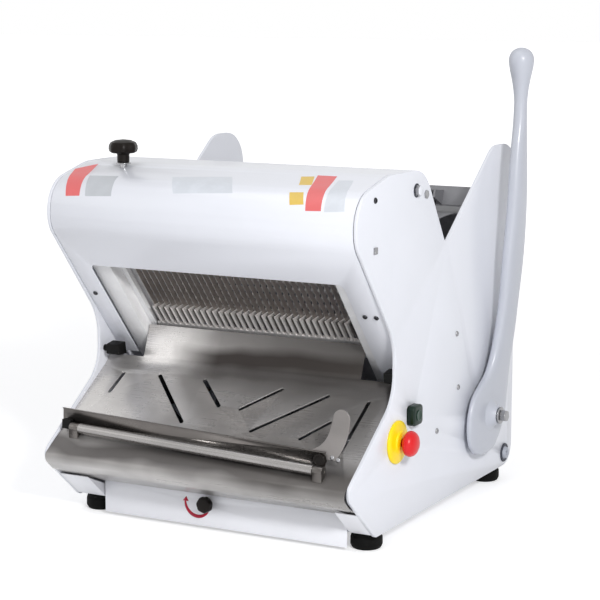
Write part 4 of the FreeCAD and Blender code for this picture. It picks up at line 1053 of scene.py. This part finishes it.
def studio():
    """A world that shows white and lights the machine more softly."""
    world = bpy.data.worlds.new("Studio")
    world.use_nodes = True
    world.node_tree.nodes.clear()
    nodes = Nodes(world.node_tree)
    light = nodes.node("ShaderNodeBackground", {}, {"Color": SKY, "Strength": SKY_STRENGTH})
    seen = nodes.node("ShaderNodeBackground", {}, {"Color": WHITE, "Strength": 1.0})
    mixed = nodes.mix_shaders(nodes.background_rays(), light, seen)
    nodes.node("ShaderNodeOutputWorld", {}, {"Surface": mixed})
    return world


def camera():
    """The camera, in front and to the right of the machine."""
    data = bpy.data.cameras.new("Camera")
    data.sensor_width = 36.0
    data.lens = CAMERA_LENS
    data.shift_x, data.shift_y = CAMERA_SHIFT
    data.clip_end = 100.0
    item = bpy.data.objects.new("Camera", data)
    item.location = at(*CAMERA)
    item.rotation_euler = (math.radians(90.0 - CAMERA_DOWN), 0.0, math.radians(CAMERA_TURN))
    bpy.context.scene.collection.objects.link(item)
    return item


class SLICER_OT_stage(SlicerOperator, bpy.types.Operator):
    """Floor, studio light and camera"""

    bl_idname = "slicer.stage"
    bl_label = "Stage"

    def execute(self, context):
        scene = context.scene
        floor()
        scene.world = studio()
        for row in LAMPS:
            lamp(*row)
        scene.camera = camera()
        scene.view_settings.view_transform = "Standard"
        return {"FINISHED"}


# ---------------------------------------------------------------- panel and registration

OPERATORS = [SLICER_OT_casing, SLICER_OT_hopper, SLICER_OT_blades, SLICER_OT_drive, SLICER_OT_feed,
             SLICER_OT_outlet, SLICER_OT_knobs, SLICER_OT_controls, SLICER_OT_marks, SLICER_OT_fasteners,
             SLICER_OT_stage]


class SLICER_PT_panel(bpy.types.Panel):
    """The sizes, the colours and the steps of the build"""

    bl_idname = "SLICER_PT_panel"
    bl_label = "Bread slicer"
    bl_space_type = "VIEW_3D"
    bl_region_type = "UI"
    bl_category = "Bread slicer"

    def draw(self, context):
        column = self.layout.column()
        for name in SlicerSizes.__annotations__:
            column.prop(context.scene.slicer_sizes, name)
        for name in SlicerColours.__annotations__:
            column.prop(context.scene.slicer_colours, name)
        for operator in OPERATORS:
            column.operator(operator.bl_idname)


CLASSES = [SlicerSizes, SlicerColours, *OPERATORS, SLICER_PT_panel]


def register():
    """Make the classes known and hang the sizes and colours on the scene."""
    for item in CLASSES:
        bpy.utils.register_class(item)
    bpy.types.Scene.slicer_sizes = PointerProperty(type=SlicerSizes)
    bpy.types.Scene.slicer_colours = PointerProperty(type=SlicerColours)


def unregister():
    """Take back what register did."""
    del bpy.types.Scene.slicer_colours
    del bpy.types.Scene.slicer_sizes
    for item in reversed(CLASSES):
        bpy.utils.unregister_class(item)


def main():
    """Build everything."""
    register()
    for operator in OPERATORS:
        group, name = operator.bl_idname.split(".")
        getattr(getattr(bpy.ops, group), name)()


if __name__ == "__main__":
    main()
